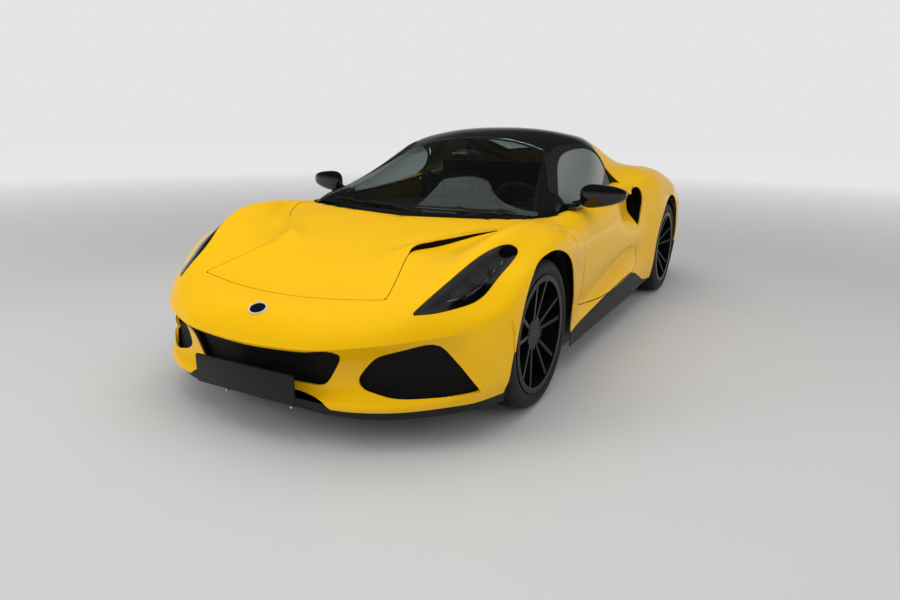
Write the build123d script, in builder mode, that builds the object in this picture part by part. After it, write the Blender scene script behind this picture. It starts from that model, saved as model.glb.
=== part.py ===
"""Mid-engined two-seat coupe, built as an assembly of its real panels and parts.

Frame: millimetres, +Z up, the nose towards -Y, the car's left side towards +X.
The origin lies on the ground under the middle of the overall length.
"""

import math
import os

from build123d import *

os.makedirs("parts", exist_ok=True)

# ------------------------------------------------------------------ driving dimensions
length = 4413.0  # nose to tail, without the number plate
width = 1895.0  # over the rear haunches, without the mirrors
height = 1226.0  # ground to roof
wheelbase = 2575.0
front_overhang = 870.0  # nose to front axle
plate_stand_off = 12.0  # number plate ahead of the nose
plate_width = 520.0
plate_height = 112.0
plate_thickness = 4.0
plate_base_z = 190.0

nose_y = plate_stand_off - (length + plate_stand_off) / 2
tail_y = nose_y + length
front_y = nose_y + front_overhang  # front axle
rear_y = front_y + wheelbase  # rear axle
half_width = width / 2

# wheels, measured along the axle from the wheel's mid plane, outboard positive
bead_radius = 254.0
barrel_wall = 14.0
flange_height = 12.0
flange_thickness = 8.0
front_tyre_width = 245.0
front_tyre_radius = 340.0
rear_tyre_width = 295.0
rear_tyre_radius = 342.0
front_wheel_x = 803.0
rear_wheel_x = 780.0
tyre_wall = 12.0
tread_groove = 7.0
spoke_pairs = 5
spoke_width = 17.0
spoke_spread = 13.0  # degrees each side of a pair's middle
hub_radius = 74.0
spindle_radius = 24.0
running_fit = 0.05  # radial, shafts that turn
disc_radius = 185.0
disc_inner_x = -22.0
disc_outer_x = 10.0
kingpin_x = -48.0
kingpin_radius = 9.0

# body
ride_height = 120.0
arch_radius = 390.0
bay_x = 430.0  # the wheel bays run outboard from here
liner_thickness = 4.0
seat_gap = 0.3  # between curved faces of one body that rest on each other
move_gap = 6.0  # round the doors
lid_gap = 12.0  # round the bonnet and the tailgate
skin = 18.0
glass_inset = 3.0
glass_thickness = 6.0
lamp_depth = 60.0
grille_overlap = 8.0
grille_thickness = 10.0
wiper_height = 8.0
nose_base_z = 95.0
splitter_thickness = 20.0
door_inner_x = 700.0
door_base_z = 330.0
hinge_x = 860.0
hinge_y = front_y + 700.0
hinge_barrel = 95.0
hinge_pin_radius = 6.0
hinge_strap_height = 24.0
hinge_clear = 5.5  # beside the straps and the goosenecks
hinge_levels = (400.0, 648.0)
door_length = 1117.0
tub_front_y = front_y + 450.0
tub_rear_y = front_y + 1870.0
wall = 30.0
roof_split_y = front_y + 1735.0
tailgate_front_y = front_y + 1850.0
tailgate_front_gap = 16.0
tailgate_pin_reach = 86.0  # front edge back from the hinge pins
tailgate_pin_z = 1146.0
bonnet_pin_y = front_y + 435.0
bonnet_pin_z = 758.0
lid_pin_radius = 5.0
tail_end_y = tail_y - 150.0
lower_split_z = 335.0


def body_rows():
    """y, centre z, valley x z, crest x z, waist x z, sill x z."""
    half = half_width - 6
    return [
        (nose_y - 30, 392, 400, 390, 590, 378, half - 150, 300, half - 230, nose_base_z),
        (front_y - 776, 514, 430, 508, 600, 492, half - 100, 380, half - 150, nose_base_z),
        (front_y - 650, 556, 440, 552, 630, 545, half - 70, 430, half - 110, nose_base_z),
        (front_y - 350, 634, 455, 630, 725, 692, half - 28, 510, half - 60, nose_base_z),
        (front_y, 702, 530, 698, 748, 815, half - 14, 560, half - 42, 110),
        (front_y + 310, 772, 620, 768, 745, 824, half - 16, 570, half - 42, 110),
        (front_y + 640, 812, 690, 800, 780, 832, half - 22, 580, half - 50, 110),
        (front_y + 1350, 856, 700, 842, 790, 856, half - 34, 590, half - 56, 110),
        (rear_y - 650, 895, 690, 893, 785, 905, half - 20, 600, half - 50, 110),
        (rear_y - 300, 940, 640, 930, 770, 952, half - 5, 620, half - 30, 110),
        (rear_y, 945, 600, 935, 760, 940, half, 625, half - 20, 110),
        (rear_y + 500, 920, 560, 905, 735, 890, half - 30, 615, half - 60, 120),
        (tail_y + 40, 885, 500, 868, 660, 835, half - 110, 600, half - 140, 130),
    ]


def cabin_rows():
    """y, base x z, rail x z, centre z."""
    return [
        (front_y + 290, 740, 620, 640, 728, 752),
        (front_y + 450, 800, 640, 690, 795, 842),
        (front_y + 710, 835, 660, 668, 908, 990),
        (front_y + 1100, 850, 690, 575, 1106, 1188),
        (front_y + 1400, 855, 700, 560, 1160, height),
        (front_y + 1750, 850, 710, 548, 1128, height - 22),
        (rear_y - 425, 830, 740, 525, 1040, 1122),
        (rear_y, 760, 780, 505, 985, 1040),
        (rear_y + 475, 690, 780, 480, 928, 980),
        (rear_y + 740, 655, 770, 468, 908, 958),
        (tail_y + 40, 630, 760, 455, 888, 935),
    ]


def bowed(start, end, bow):
    """A point beside the middle of start to end, bow to the right of that direction."""
    dx, dz = end[0] - start[0], end[1] - start[1]
    span = math.hypot(dx, dz)
    return ((start[0] + end[0]) / 2 + bow * dz / span, (start[1] + end[1]) / 2 - bow * dx / span)


def flip(point):
    return (-point[0], point[1])


def plan_trim(inset):
    """The outline from above, with arcs at the nose and the tail, as a tall prism."""
    nose, tail, half = nose_y, tail_y, half_width
    nose_right, nose_side = (620, nose + 180), (half - 20, nose + 700)
    tail_right, tail_side = (680, tail - 130), (half - 8, rear_y)
    with BuildPart() as trim:
        with BuildSketch(Plane.XY.offset(20)):
            with BuildLine():
                ThreePointArc(flip(nose_right), (0, nose), nose_right)
                ThreePointArc(nose_right, (half - 90, nose + 380), nose_side)
                Line(nose_side, tail_side)
                ThreePointArc(tail_side, (half - 45, tail - 400), tail_right)
                ThreePointArc(tail_right, (0, tail), flip(tail_right))
                ThreePointArc(flip(tail_right), (45 - half, tail - 400), flip(tail_side))
                Line(flip(tail_side), flip(nose_side))
                ThreePointArc(flip(nose_side), (90 - half, nose + 380), flip(nose_right))
            make_face()
            if inset:
                offset(amount=-inset)
        extrude(amount=height * 1.2)
    return trim.part


def lower_body(inset=0.0):
    """The lower body as one solid, its skin moved in by inset."""
    low_bow, high_bow = 14.0, 34.0
    base_drop = 5.0 if inset > 0 else 0.0
    with BuildPart() as volume:
        for row in body_rows():
            y, centre_z, valley_x, valley_z, crest_x, crest_z, waist_x, waist_z, sill_x, sill_z = row
            centre = (0, centre_z - inset)
            valley = (valley_x, valley_z - inset)
            crest = (crest_x - inset / 2, crest_z - inset)
            waist = (waist_x - inset, waist_z)
            sill = (sill_x - inset, sill_z - base_drop)
            low = bowed(sill, waist, low_bow)
            high = bowed(waist, crest, high_bow)
            with BuildSketch(Plane.XZ.offset(-y)):
                with BuildLine():
                    Line(flip(sill), sill)
                    ThreePointArc(sill, low, waist)
                    ThreePointArc(waist, high, crest)
                    Line(crest, valley)
                    ThreePointArc(valley, centre, flip(valley))
                    Line(flip(valley), flip(crest))
                    ThreePointArc(flip(crest), flip(high), flip(waist))
                    ThreePointArc(flip(waist), flip(low), flip(sill))
                make_face()
        loft()
        add(plan_trim(inset), mode=Mode.INTERSECT)
    return volume.part


def cabin_top(inset=0.0):
    """Windscreen, roof and fastback as one solid, its skin moved in by inset."""
    side_bow = 16.0
    with BuildPart() as volume:
        for y, base_x, base_z, rail_x, rail_z, centre_z in cabin_rows():
            base = (base_x - inset, base_z)
            rail = (rail_x - inset * 0.7, rail_z - inset)
            side = bowed(base, rail, side_bow)
            with BuildSketch(Plane.XZ.offset(-y)):
                with BuildLine():
                    Line(flip(base), base)
                    ThreePointArc(base, side, rail)
                    ThreePointArc(rail, (0, centre_z - inset), flip(rail))
                    ThreePointArc(flip(rail), flip(side), flip(base))
                make_face()
        loft()
        add(plan_trim(max(inset, 0)), mode=Mode.INTERSECT)
    return volume.part


# ------------------------------------------------------------------ cutting tools
def plan_prism(points, low=20.0, high=2000.0, grow=0.0):
    """A closed outline of (x, y) points seen from above, as a prism."""
    with BuildPart() as prism:
        with BuildSketch(Plane.XY.offset(low)):
            with BuildLine():
                Polyline(*points, close=True)
            make_face()
            if grow:
                offset(amount=grow, kind=Kind.INTERSECTION)
        extrude(amount=high - low)
    return prism.part


def side_prism(points, low, high, grow=0.0):
    """A closed outline of (y, z) points seen from the side, from x low to x high."""
    with BuildPart() as prism:
        with BuildSketch(Plane.YZ.offset(low)):
            with BuildLine():
                Polyline(*points, close=True)
            make_face()
            if grow:
                offset(amount=grow, kind=Kind.INTERSECTION)
        extrude(amount=high - low)
    return prism.part


def front_prism(points, near, far, grow=0.0):
    """A closed outline of (x, z) points seen from the front, from y near back to y far."""
    with BuildPart() as prism:
        with BuildSketch(Plane.XZ.offset(-near)):
            with BuildLine():
                Polyline(*points, close=True)
            make_face()
            if grow:
                offset(amount=grow, kind=Kind.INTERSECTION)
        extrude(amount=near - far)
    return prism.part


def block(low, high):
    """A box between two corners."""
    with BuildPart() as box:
        with Locations([((low[0] + high[0]) / 2, (low[1] + high[1]) / 2, (low[2] + high[2]) / 2)]):
            Box(high[0] - low[0], high[1] - low[1], high[2] - low[2])
    return box.part


def rod(start, end, radius):
    """A round bar between two points."""
    way = Vector(*end) - Vector(*start)
    with BuildPart() as bar:
        with BuildSketch(Plane(origin=start, z_dir=way)):
            Circle(radius)
        extrude(amount=way.length)
    return bar.part


def both_sides(part):
    """The part together with its mirror image across the middle of the car."""
    with BuildPart() as pair:
        add(part)
        mirror(part, about=Plane.YZ)
    return pair.part


def other_side(part):
    """The part's mirror image across the middle of the car."""
    with BuildPart() as image:
        mirror(part, about=Plane.YZ)
    return image.part


def keep(name, part):
    """Name a finished part and write it."""
    part.label = name
    export_step(part, f"parts/{name}.step")


def door_sector(grow):
    """The door's outline from above: a sector about the hinge with a round leading edge."""
    far = door_length + grow
    near = hinge_barrel + grow
    inner = door_inner_x - grow
    outer = 1000.0
    drop_inner = math.sqrt(far**2 - (hinge_x - inner) ** 2)
    drop_outer = math.sqrt(far**2 - (outer - hinge_x) ** 2)
    with BuildPart() as sector:
        with BuildSketch(Plane.XY.offset(door_base_z - grow)):
            with BuildLine():
                Line((inner, hinge_y), (inner, hinge_y + drop_inner))
                ThreePointArc(
                    (inner, hinge_y + drop_inner), (hinge_x, hinge_y + far), (outer, hinge_y + drop_outer)
                )
                Line((outer, hinge_y + drop_outer), (outer, hinge_y))
                Line((outer, hinge_y), (inner, hinge_y))
            make_face()
            with Locations((hinge_x, hinge_y)):
                Circle(near)
        extrude(amount=height)
    return sector.part


def wheel_bay(x_low, x_high, radius, axle_y, axle_z):
    """A cylinder along the axle."""
    return rod((x_low, axle_y, axle_z), (x_high, axle_y, axle_z), radius)


# outlines shared by panels and what fills them
bonnet_outline = [  # x, y; left half from the nose back, mirrored below
    (0, front_y - 655), (250, front_y - 636), (500, front_y - 592), (432, front_y - 420),
    (385, front_y - 262), (445, front_y - 150), (640, front_y + 170), (672, front_y + 330),
    (672, front_y + 375), (400, front_y + 335), (0, front_y + 300),
]
windscreen_outline = [
    (0, front_y + 360), (400, front_y + 400), (640, front_y + 470), (648, front_y + 560),
    (525, front_y + 1010), (480, front_y + 1030), (0, front_y + 1062),
]
tailgate_outline = [
    (0, tailgate_front_y), (452, tailgate_front_y), (470, rear_y - 300), (440, rear_y + 300),
    (410, tail_end_y), (0, tail_end_y + 20),
]
rear_glass_outline = [
    (0, tailgate_front_y + 55), (400, tailgate_front_y + 55), (375, rear_y - 130), (0, rear_y - 110),
]
glass_side_outline = [  # y, z seen from the side
    (hinge_y + 45, 700), (hinge_y + 45, 912), (front_y + 1000, 1048), (front_y + 1180, 1098),
    (front_y + 1330, 1116), (front_y + 1560, 1100), (front_y + 1700, 1060), (front_y + 1690, 1000),
    (front_y + 1600, 700),
]
side_window_outline = [
    (hinge_y + 45, 650), (hinge_y + 45, 912), (front_y + 1000, 1048), (front_y + 1180, 1098),
    (front_y + 1330, 1116), (front_y + 1560, 1100), (front_y + 1700, 1060), (front_y + 1690, 1000),
    (front_y + 1600, 650),
]


def full(outline):
    """A half outline closed by its mirror image."""
    return outline + [(-x, y) for x, y in reversed(outline) if x]


lamp_points = [  # on the skin, left side
    (636, front_y - 620, 535), (700, front_y - 400, 670), (760, front_y - 250, 730),
    (840, front_y - 105, 748), (880, front_y - 240, 640), (880, front_y - 400, 570),
    (800, front_y - 545, 515), (700, front_y - 610, 505),
]
lamp_plane = Plane(origin=(770, front_y - 380, 620), x_dir=(0.707, 0.707, 0), z_dir=(0.55, -0.55, 0.63))


def lamp_prism(grow=0.0):
    """The headlamp's outline pushed through the front wing."""
    flat = [lamp_plane.to_local_coords(Vector(*point)) for point in lamp_points]
    with BuildPart() as prism:
        with BuildSketch(lamp_plane.offset(-130)):
            with BuildLine():
                Polyline(*[(point.X, point.Y) for point in flat], close=True)
            make_face()
            if grow:
                offset(amount=grow, kind=Kind.INTERSECTION)
        extrude(amount=400)
    return prism.part


centre_intake = [(-390, 352), (390, 352), (275, 190), (250, 150), (-250, 150), (-275, 190)]
side_intake = [(400, 232), (560, 338), (610, 340), (800, 172), (785, 150), (620, 158), (440, 200)]
vent_outline = [  # y, z of the air intake behind the door
    (front_y + 1840, 800), (front_y + 1905, 850), (front_y + 1975, 840), (front_y + 1925, 700),
    (front_y + 1870, 600), (front_y + 1838, 620),
]
tail_lamp_outline = [(480, 772), (800, 742), (828, 700), (800, 640), (690, 640), (700, 690), (480, 722)]
exhaust_x, exhaust_z, exhaust_radius = 330.0, 300.0, 52.0

# ------------------------------------------------------------------ body volumes
outer_lower = lower_body()
inner_lower = lower_body(skin)
seat_lower = lower_body(-seat_gap)
deep_inside = lower_body(skin + seat_gap)
outer_cabin = cabin_top()
inner_cabin = cabin_top(skin)
slot_outer = cabin_top(glass_inset - seat_gap)
slot_inner = cabin_top(glass_inset + glass_thickness + seat_gap)
pane_outer = cabin_top(glass_inset)
pane_inner = cabin_top(glass_inset + glass_thickness)

with BuildPart() as outside:
    add(outer_lower)
    add(outer_cabin)
with BuildPart() as inside:
    add(inner_lower)
    add(inner_cabin)
with BuildPart() as shell:
    add(outside.part)
    add(inside.part, mode=Mode.SUBTRACT)

arches = []
for axle_y, axle_z in ((front_y, front_tyre_radius), (rear_y, rear_tyre_radius)):
    arches.append(wheel_bay(bay_x, 1050, arch_radius, axle_y, axle_z))
    arches.append(wheel_bay(-1050, -bay_x, arch_radius, axle_y, axle_z))

door_cut = door_sector(move_gap)
window_cut = side_prism(side_window_outline, 480, 1000, grow=move_gap)
window_rear_cut = side_prism(
    [(front_y + 1500, 760), (front_y + 1500, 1095), (front_y + 1714, 1062), (front_y + 1700, 760)], 480, 1000
)
bonnet_cut = plan_prism(full(bonnet_outline), 300, 900, grow=lid_gap)
tailgate_cut = plan_prism(full(tailgate_outline), 820, 1300, grow=lid_gap)
tailgate_front_cut = block(
    (-460, tailgate_front_y - tailgate_front_gap, 1000), (460, tailgate_front_y, 1300)
)

# ------------------------------------------------------------------ outer panels
# the bonnet swings on two goosenecks, each on a pin through a lug under the wing
bonnet_neck_x, bonnet_neck_width, bonnet_lug_width = 652.0, 12.0, 20.0
bonnet_lug_x = bonnet_neck_x + bonnet_neck_width + hinge_clear

with BuildPart() as bonnet_lug:
    add(block((bonnet_lug_x, bonnet_pin_y - 14, bonnet_pin_z - 12),
              (bonnet_lug_x + bonnet_lug_width, bonnet_pin_y + 14, bonnet_pin_z + 60)))
    add(outer_lower, mode=Mode.INTERSECT)
    add(rod((bonnet_neck_x - 2, bonnet_pin_y, bonnet_pin_z),
            (bonnet_lug_x + bonnet_lug_width, bonnet_pin_y, bonnet_pin_z), lid_pin_radius))

with BuildPart() as bonnet_neck:
    add(side_prism(
        [(bonnet_pin_y + y, bonnet_pin_z + z) for y, z in (
            (6, -6), (-33, -60), (-92, -37), (-92, 40), (-78, 40), (-78, -25), (-38, -40), (-8, 4))],
        bonnet_neck_x, bonnet_neck_x + bonnet_neck_width))
    add(rod((bonnet_neck_x, bonnet_pin_y, bonnet_pin_z),
            (bonnet_neck_x + bonnet_neck_width, bonnet_pin_y, bonnet_pin_z), 10))
    add(outer_lower, mode=Mode.INTERSECT)
    add(rod((bonnet_neck_x - 1, bonnet_pin_y, bonnet_pin_z),
            (bonnet_neck_x + bonnet_neck_width + 1, bonnet_pin_y, bonnet_pin_z),
            lid_pin_radius + running_fit), mode=Mode.SUBTRACT)

with BuildPart() as lid_space:  # kept clear under the closed bonnet
    add(bonnet_cut)
    add(lower_body(skin + move_gap), mode=Mode.SUBTRACT)

with BuildPart() as front_clam:
    add(shell.part)
    add(block((-1050, nose_y - 50, 0), (1050, hinge_y, 1300)), mode=Mode.INTERSECT)
    for cutter in arches[:2]:
        add(cutter, mode=Mode.SUBTRACT)
    add(both_sides(door_cut), mode=Mode.SUBTRACT)
    add(bonnet_cut, mode=Mode.SUBTRACT)
    add(both_sides(lamp_prism(seat_gap)), mode=Mode.SUBTRACT)
    add(front_prism(centre_intake, nose_y - 50, front_y - 450), mode=Mode.SUBTRACT)
    add(both_sides(front_prism(side_intake, nose_y - 50, front_y - 392)), mode=Mode.SUBTRACT)
    add(outer_lower, mode=Mode.INTERSECT)
    add(block((-1050, front_y + 250, 0), (1050, hinge_y, lower_split_z)), mode=Mode.SUBTRACT)
    add(both_sides(bonnet_lug.part))
keep("front_clam", front_clam.part)

with BuildPart() as roof_frame:
    add(outer_cabin)
    add(block((-1050, front_y + 300, 700), (1050, roof_split_y, 1300)), mode=Mode.INTERSECT)
    add(seat_lower, mode=Mode.SUBTRACT)
    add(inner_cabin, mode=Mode.SUBTRACT)
    add(bonnet_cut, mode=Mode.SUBTRACT)
    add(plan_prism(full(windscreen_outline), 700, 1300, grow=seat_gap), mode=Mode.SUBTRACT)
    add(both_sides(window_cut), mode=Mode.SUBTRACT)
    add(both_sides(window_rear_cut), mode=Mode.SUBTRACT)
    add(both_sides(door_cut), mode=Mode.SUBTRACT)
keep("roof_frame", roof_frame.part)

def pane(prism):
    """A curved pane of glass: the prism's share of the cabin's skin."""
    with BuildPart() as glass:
        add(pane_outer)
        add(prism, mode=Mode.INTERSECT)
        add(seat_lower, mode=Mode.SUBTRACT)
        add(pane_inner, mode=Mode.SUBTRACT)
    return glass.part


windscreen = pane(plan_prism(full(windscreen_outline), 700, 1300))
keep("windscreen", windscreen)

# the tailgate swings on two goosenecks under the roof, each between the ears of a lug
tailgate_pin_y = tailgate_front_y - tailgate_pin_reach
pin_x, neck_width, ear_width = 150.0, 12.0, 8.0
neck_low, neck_high = pin_x - neck_width / 2, pin_x + neck_width / 2

with BuildPart() as tailgate_lug:
    for low in (neck_low - hinge_clear - ear_width, neck_high + hinge_clear):
        add(block((low, tailgate_pin_y - 14, tailgate_pin_z - 12),
                  (low + ear_width, tailgate_pin_y + 14, tailgate_pin_z + 60)))
    add(outer_cabin, mode=Mode.INTERSECT)
    add(rod((neck_low - hinge_clear - ear_width, tailgate_pin_y, tailgate_pin_z),
            (neck_high + hinge_clear + ear_width, tailgate_pin_y, tailgate_pin_z), lid_pin_radius))

with BuildPart() as gooseneck:
    add(side_prism(
        [(tailgate_pin_y - 10, tailgate_pin_z - 10), (tailgate_pin_y + 44, tailgate_pin_z - 92),
         (tailgate_front_y + 44, tailgate_pin_z - 52), (tailgate_front_y + 44, tailgate_pin_z + 30),
         (tailgate_front_y + 20, tailgate_pin_z + 30), (tailgate_front_y + 20, tailgate_pin_z - 34),
         (tailgate_pin_y + 52, tailgate_pin_z - 66), (tailgate_pin_y + 12, tailgate_pin_z - 4)],
        neck_low, neck_high))
    add(rod((neck_low, tailgate_pin_y, tailgate_pin_z), (neck_high, tailgate_pin_y, tailgate_pin_z), 12))
    add(outer_cabin, mode=Mode.INTERSECT)
    add(rod((neck_low - 1, tailgate_pin_y, tailgate_pin_z), (neck_high + 1, tailgate_pin_y, tailgate_pin_z),
            lid_pin_radius + running_fit), mode=Mode.SUBTRACT)

with BuildPart() as rear_clam:
    add(shell.part)
    add(block((-1050, hinge_y + 900, 0), (1050, tail_y + 50, 1300)), mode=Mode.INTERSECT)
    for cutter in arches[2:]:
        add(cutter, mode=Mode.SUBTRACT)
    add(both_sides(door_cut), mode=Mode.SUBTRACT)
    add(both_sides(window_cut), mode=Mode.SUBTRACT)
    add(both_sides(window_rear_cut), mode=Mode.SUBTRACT)
    add(block((-1050, hinge_y, 600), (1050, roof_split_y + seat_gap, 1300)), mode=Mode.SUBTRACT)
    add(block((-1050, hinge_y, 0), (1050, tail_y + 50, lower_split_z)), mode=Mode.SUBTRACT)
    for x in (-exhaust_x, exhaust_x):
        add(rod((x, tail_y - 300, exhaust_z), (x, tail_y + 60, exhaust_z), exhaust_radius + seat_gap),
            mode=Mode.SUBTRACT)
    add(tailgate_cut, mode=Mode.SUBTRACT)
    add(tailgate_front_cut, mode=Mode.SUBTRACT)
    add(both_sides(tailgate_lug.part))
    add(both_sides(side_prism(vent_outline, 700, 1050)), mode=Mode.SUBTRACT)
    add(both_sides(front_prism(tail_lamp_outline, tail_y - 420, tail_y + 50, grow=seat_gap)),
        mode=Mode.SUBTRACT)
keep("rear_clam", rear_clam.part)

with BuildPart() as bonnet:
    add(shell.part)
    add(plan_prism(full(bonnet_outline), 300, 900), mode=Mode.INTERSECT)
    add(both_sides(bonnet_neck.part))
keep("bonnet", bonnet.part)

with BuildPart() as tailgate:
    add(outer_cabin)
    add(inner_cabin, mode=Mode.SUBTRACT)
    add(plan_prism(full(tailgate_outline), 860, 1300), mode=Mode.INTERSECT)
    add(plan_prism(full(rear_glass_outline), 820, 1300, grow=seat_gap), mode=Mode.SUBTRACT)
    add(both_sides(gooseneck.part))
keep("tailgate", tailgate.part)

keep("rear_window", pane(plan_prism(full(rear_glass_outline), 900, 1300)))

# ------------------------------------------------------------------ doors
def hinge_pin(level, radius):
    """A hinge's vertical pin, left side, standing above and below its strap."""
    return rod((hinge_x, hinge_y, level - 26), (hinge_x, hinge_y, level + hinge_strap_height + 26), radius)


with BuildPart() as glass_slot:  # where the window runs down inside the door
    add(slot_outer)
    add(side_prism(glass_side_outline, 600, 1000, grow=seat_gap), mode=Mode.INTERSECT)
    add(slot_inner, mode=Mode.SUBTRACT)

with BuildPart() as door_left:
    add(outer_lower)
    add(door_sector(0), mode=Mode.INTERSECT)
    # hollow inside, open upwards where the window drops in
    with BuildSketch(Plane.XY.offset(door_base_z + 20)):
        with BuildLine():
            Polyline(
                (door_inner_x + 20, hinge_y + 110), (1000, hinge_y + 110), (1000, hinge_y + 1085),
                (door_inner_x + 20, hinge_y + 1085), close=True
            )
        make_face()
    cavity = extrude(amount=360, mode=Mode.PRIVATE)
    add(inner_lower.intersect(cavity), mode=Mode.SUBTRACT)
    add(glass_slot.part, mode=Mode.SUBTRACT)
    for level in hinge_levels:
        add(plan_prism(
            [(880, hinge_y + 12), (700, hinge_y + 12), (700, hinge_y - 110), (892, hinge_y - 110),
             (880, hinge_y - 10)],
            level - hinge_clear, level + hinge_strap_height + hinge_clear), mode=Mode.SUBTRACT)
        add(hinge_pin(level, hinge_pin_radius + running_fit), mode=Mode.SUBTRACT)
keep("door_left", door_left.part)

with BuildPart() as door_hinges:  # straps from the front posts, with the pins the doors turn on
    for level in hinge_levels:
        add(plan_prism(
            [(866, hinge_y + 6), (772, hinge_y - 7), (763, hinge_y - 16),
             (763, tub_front_y + wall + seat_gap), (781, tub_front_y + wall + seat_gap),
             (781, hinge_y - 26), (866, hinge_y - 8)], level, level + hinge_strap_height))
        add(hinge_pin(level, hinge_pin_radius))
keep("door_hinges", both_sides(door_hinges.part))

with BuildPart() as door_glass_left:
    add(pane_outer)
    add(side_prism(glass_side_outline, 480, 1000), mode=Mode.INTERSECT)
    add(pane_inner, mode=Mode.SUBTRACT)
    add(plan_prism(full(windscreen_outline), 700, 1300, grow=move_gap), mode=Mode.SUBTRACT)

mirror_y, mirror_z = hinge_y + 130.0, 893.0
with BuildPart() as mirror_left:
    with BuildSketch(Plane.YZ.offset(872)):
        with Locations((mirror_y, mirror_z)):
            RectangleRounded(88, 92, 30)
    with BuildSketch(Plane.YZ.offset(1000)):
        with Locations((mirror_y, mirror_z + 6)):
            RectangleRounded(104, 112, 38)
    with BuildSketch(Plane.YZ.offset(1046)):
        with Locations((mirror_y + 6, mirror_z + 4)):
            RectangleRounded(64, 70, 28)
    loft()
    # the stalk down to the top of the door
    add(rod((905, mirror_y, mirror_z - 20), (812, mirror_y + 10, 800), 15))
    add(seat_lower, mode=Mode.SUBTRACT)

for side, turn in (("left", lambda part: part), ("right", other_side)):
    keep(f"door_{side}", turn(door_left.part))
    keep(f"door_glass_{side}", turn(door_glass_left.part))
    keep(f"mirror_{side}", turn(mirror_left.part))

# ------------------------------------------------------------------ lamps, grilles and lower trim
with BuildPart() as headlamp:
    add(outer_lower)
    add(lower_body(lamp_depth), mode=Mode.SUBTRACT)
    add(lamp_prism(), mode=Mode.INTERSECT)
    add(wheel_bay(bay_x - 30, 1050, arch_radius + 12, front_y, front_tyre_radius), mode=Mode.SUBTRACT)
keep("headlamps", both_sides(headlamp.part))

with BuildPart() as tail_lamp:
    add(outer_lower)
    add(lower_body(lamp_depth), mode=Mode.SUBTRACT)
    add(front_prism(tail_lamp_outline, tail_y - 420, tail_y + 50), mode=Mode.INTERSECT)
keep("tail_lamps", both_sides(tail_lamp.part))

with BuildPart() as grille_openings:
    add(front_prism(centre_intake, nose_y - 50, front_y - 470, grow=grille_overlap))
    add(both_sides(front_prism(side_intake, nose_y - 50, front_y - 400, grow=grille_overlap)))

with BuildPart() as front_grilles:  # behind the fascia's openings
    add(plan_trim(skin + seat_gap))
    add(plan_trim(skin + grille_thickness), mode=Mode.SUBTRACT)
    add(grille_openings.part, mode=Mode.INTERSECT)
keep("front_grilles", front_grilles.part)

with BuildPart() as side_vent:
    add(shell.part)
    add(side_prism(vent_outline, 700, 1050, grow=9), mode=Mode.INTERSECT)
with BuildPart() as vent_insert:
    add(side_vent.part.moved(Location((-skin - 2, 0, 0))))
    add(deep_inside, mode=Mode.INTERSECT)
keep("side_vents", both_sides(vent_insert.part))

with BuildPart() as front_splitter:  # a flat blade under the nose
    with BuildSketch(Plane.XY.offset(nose_base_z - seat_gap - splitter_thickness)):
        with BuildLine():
            ThreePointArc((-660, nose_y + 225), (0, nose_y + 4), (660, nose_y + 225))
            Line((660, nose_y + 225), (600, nose_y + 420))
            Line((600, nose_y + 420), (-600, nose_y + 420))
            Line((-600, nose_y + 420), (-660, nose_y + 225))
        make_face()
    extrude(amount=splitter_thickness)
    add(front_clam.part, mode=Mode.SUBTRACT)
keep("front_splitter", front_splitter.part)

with BuildPart() as side_skirts:
    add(shell.part)
    add(block((-1050, front_y + 250, 0), (1050, rear_y - 250, lower_split_z - 11)), mode=Mode.INTERSECT)
    for cutter in arches:
        add(cutter, mode=Mode.SUBTRACT)
keep("side_skirts", side_skirts.part)

with BuildPart() as diffuser:
    add(shell.part)
    add(block((-1050, rear_y + 250, 0), (1050, tail_y + 50, lower_split_z - seat_gap)), mode=Mode.INTERSECT)
    for cutter in arches[2:]:
        add(cutter, mode=Mode.SUBTRACT)
    for x in (-exhaust_x, exhaust_x):
        add(rod((x, tail_y - 300, exhaust_z), (x, tail_y + 60, exhaust_z), exhaust_radius + seat_gap),
            mode=Mode.SUBTRACT)
keep("diffuser", diffuser.part)

with BuildPart() as exhaust_tips:
    for x in (-exhaust_x, exhaust_x):
        add(rod((x, tail_y - 260, exhaust_z), (x, tail_y - 12, exhaust_z), exhaust_radius))
        add(rod((x, tail_y - 240, exhaust_z), (x, tail_y - 12, exhaust_z), exhaust_radius - 4),
            mode=Mode.SUBTRACT)
keep("exhaust_tips", exhaust_tips.part)

plate_y = nose_y - plate_stand_off
with BuildPart() as number_plates:
    add(block((-plate_width / 2, plate_y, plate_base_z),
              (plate_width / 2, plate_y + plate_thickness, plate_base_z + plate_height)))
    for x in (-180, 180):
        add(block((x - 20, plate_y + plate_thickness, plate_base_z + 20),
                  (x + 20, plate_y + 120, plate_base_z + 50)))
    add(front_grilles.part, mode=Mode.SUBTRACT)
    add(front_clam.part, mode=Mode.SUBTRACT)
keep("number_plates", number_plates.part)

with BuildPart() as wipers:  # blades that follow the glass, parked along its lower edge
    with BuildSketch(Plane.XY.offset(700)):
        with BuildLine():
            Polyline((-80, front_y + 395), (430, front_y + 448), (430, front_y + 462),
                     (-80, front_y + 409), close=True)
        make_face()
        with BuildLine():
            Polyline((-560, front_y + 462), (-90, front_y + 400), (-90, front_y + 414),
                     (-560, front_y + 476), close=True)
        make_face()
    extrude(amount=300)
    add(cabin_top(-wiper_height), mode=Mode.INTERSECT)
    add(slot_outer, mode=Mode.SUBTRACT)
    add(windscreen, mode=Mode.SUBTRACT)
    add(outer_lower, mode=Mode.SUBTRACT)
keep("wipers", wipers.part)

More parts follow.
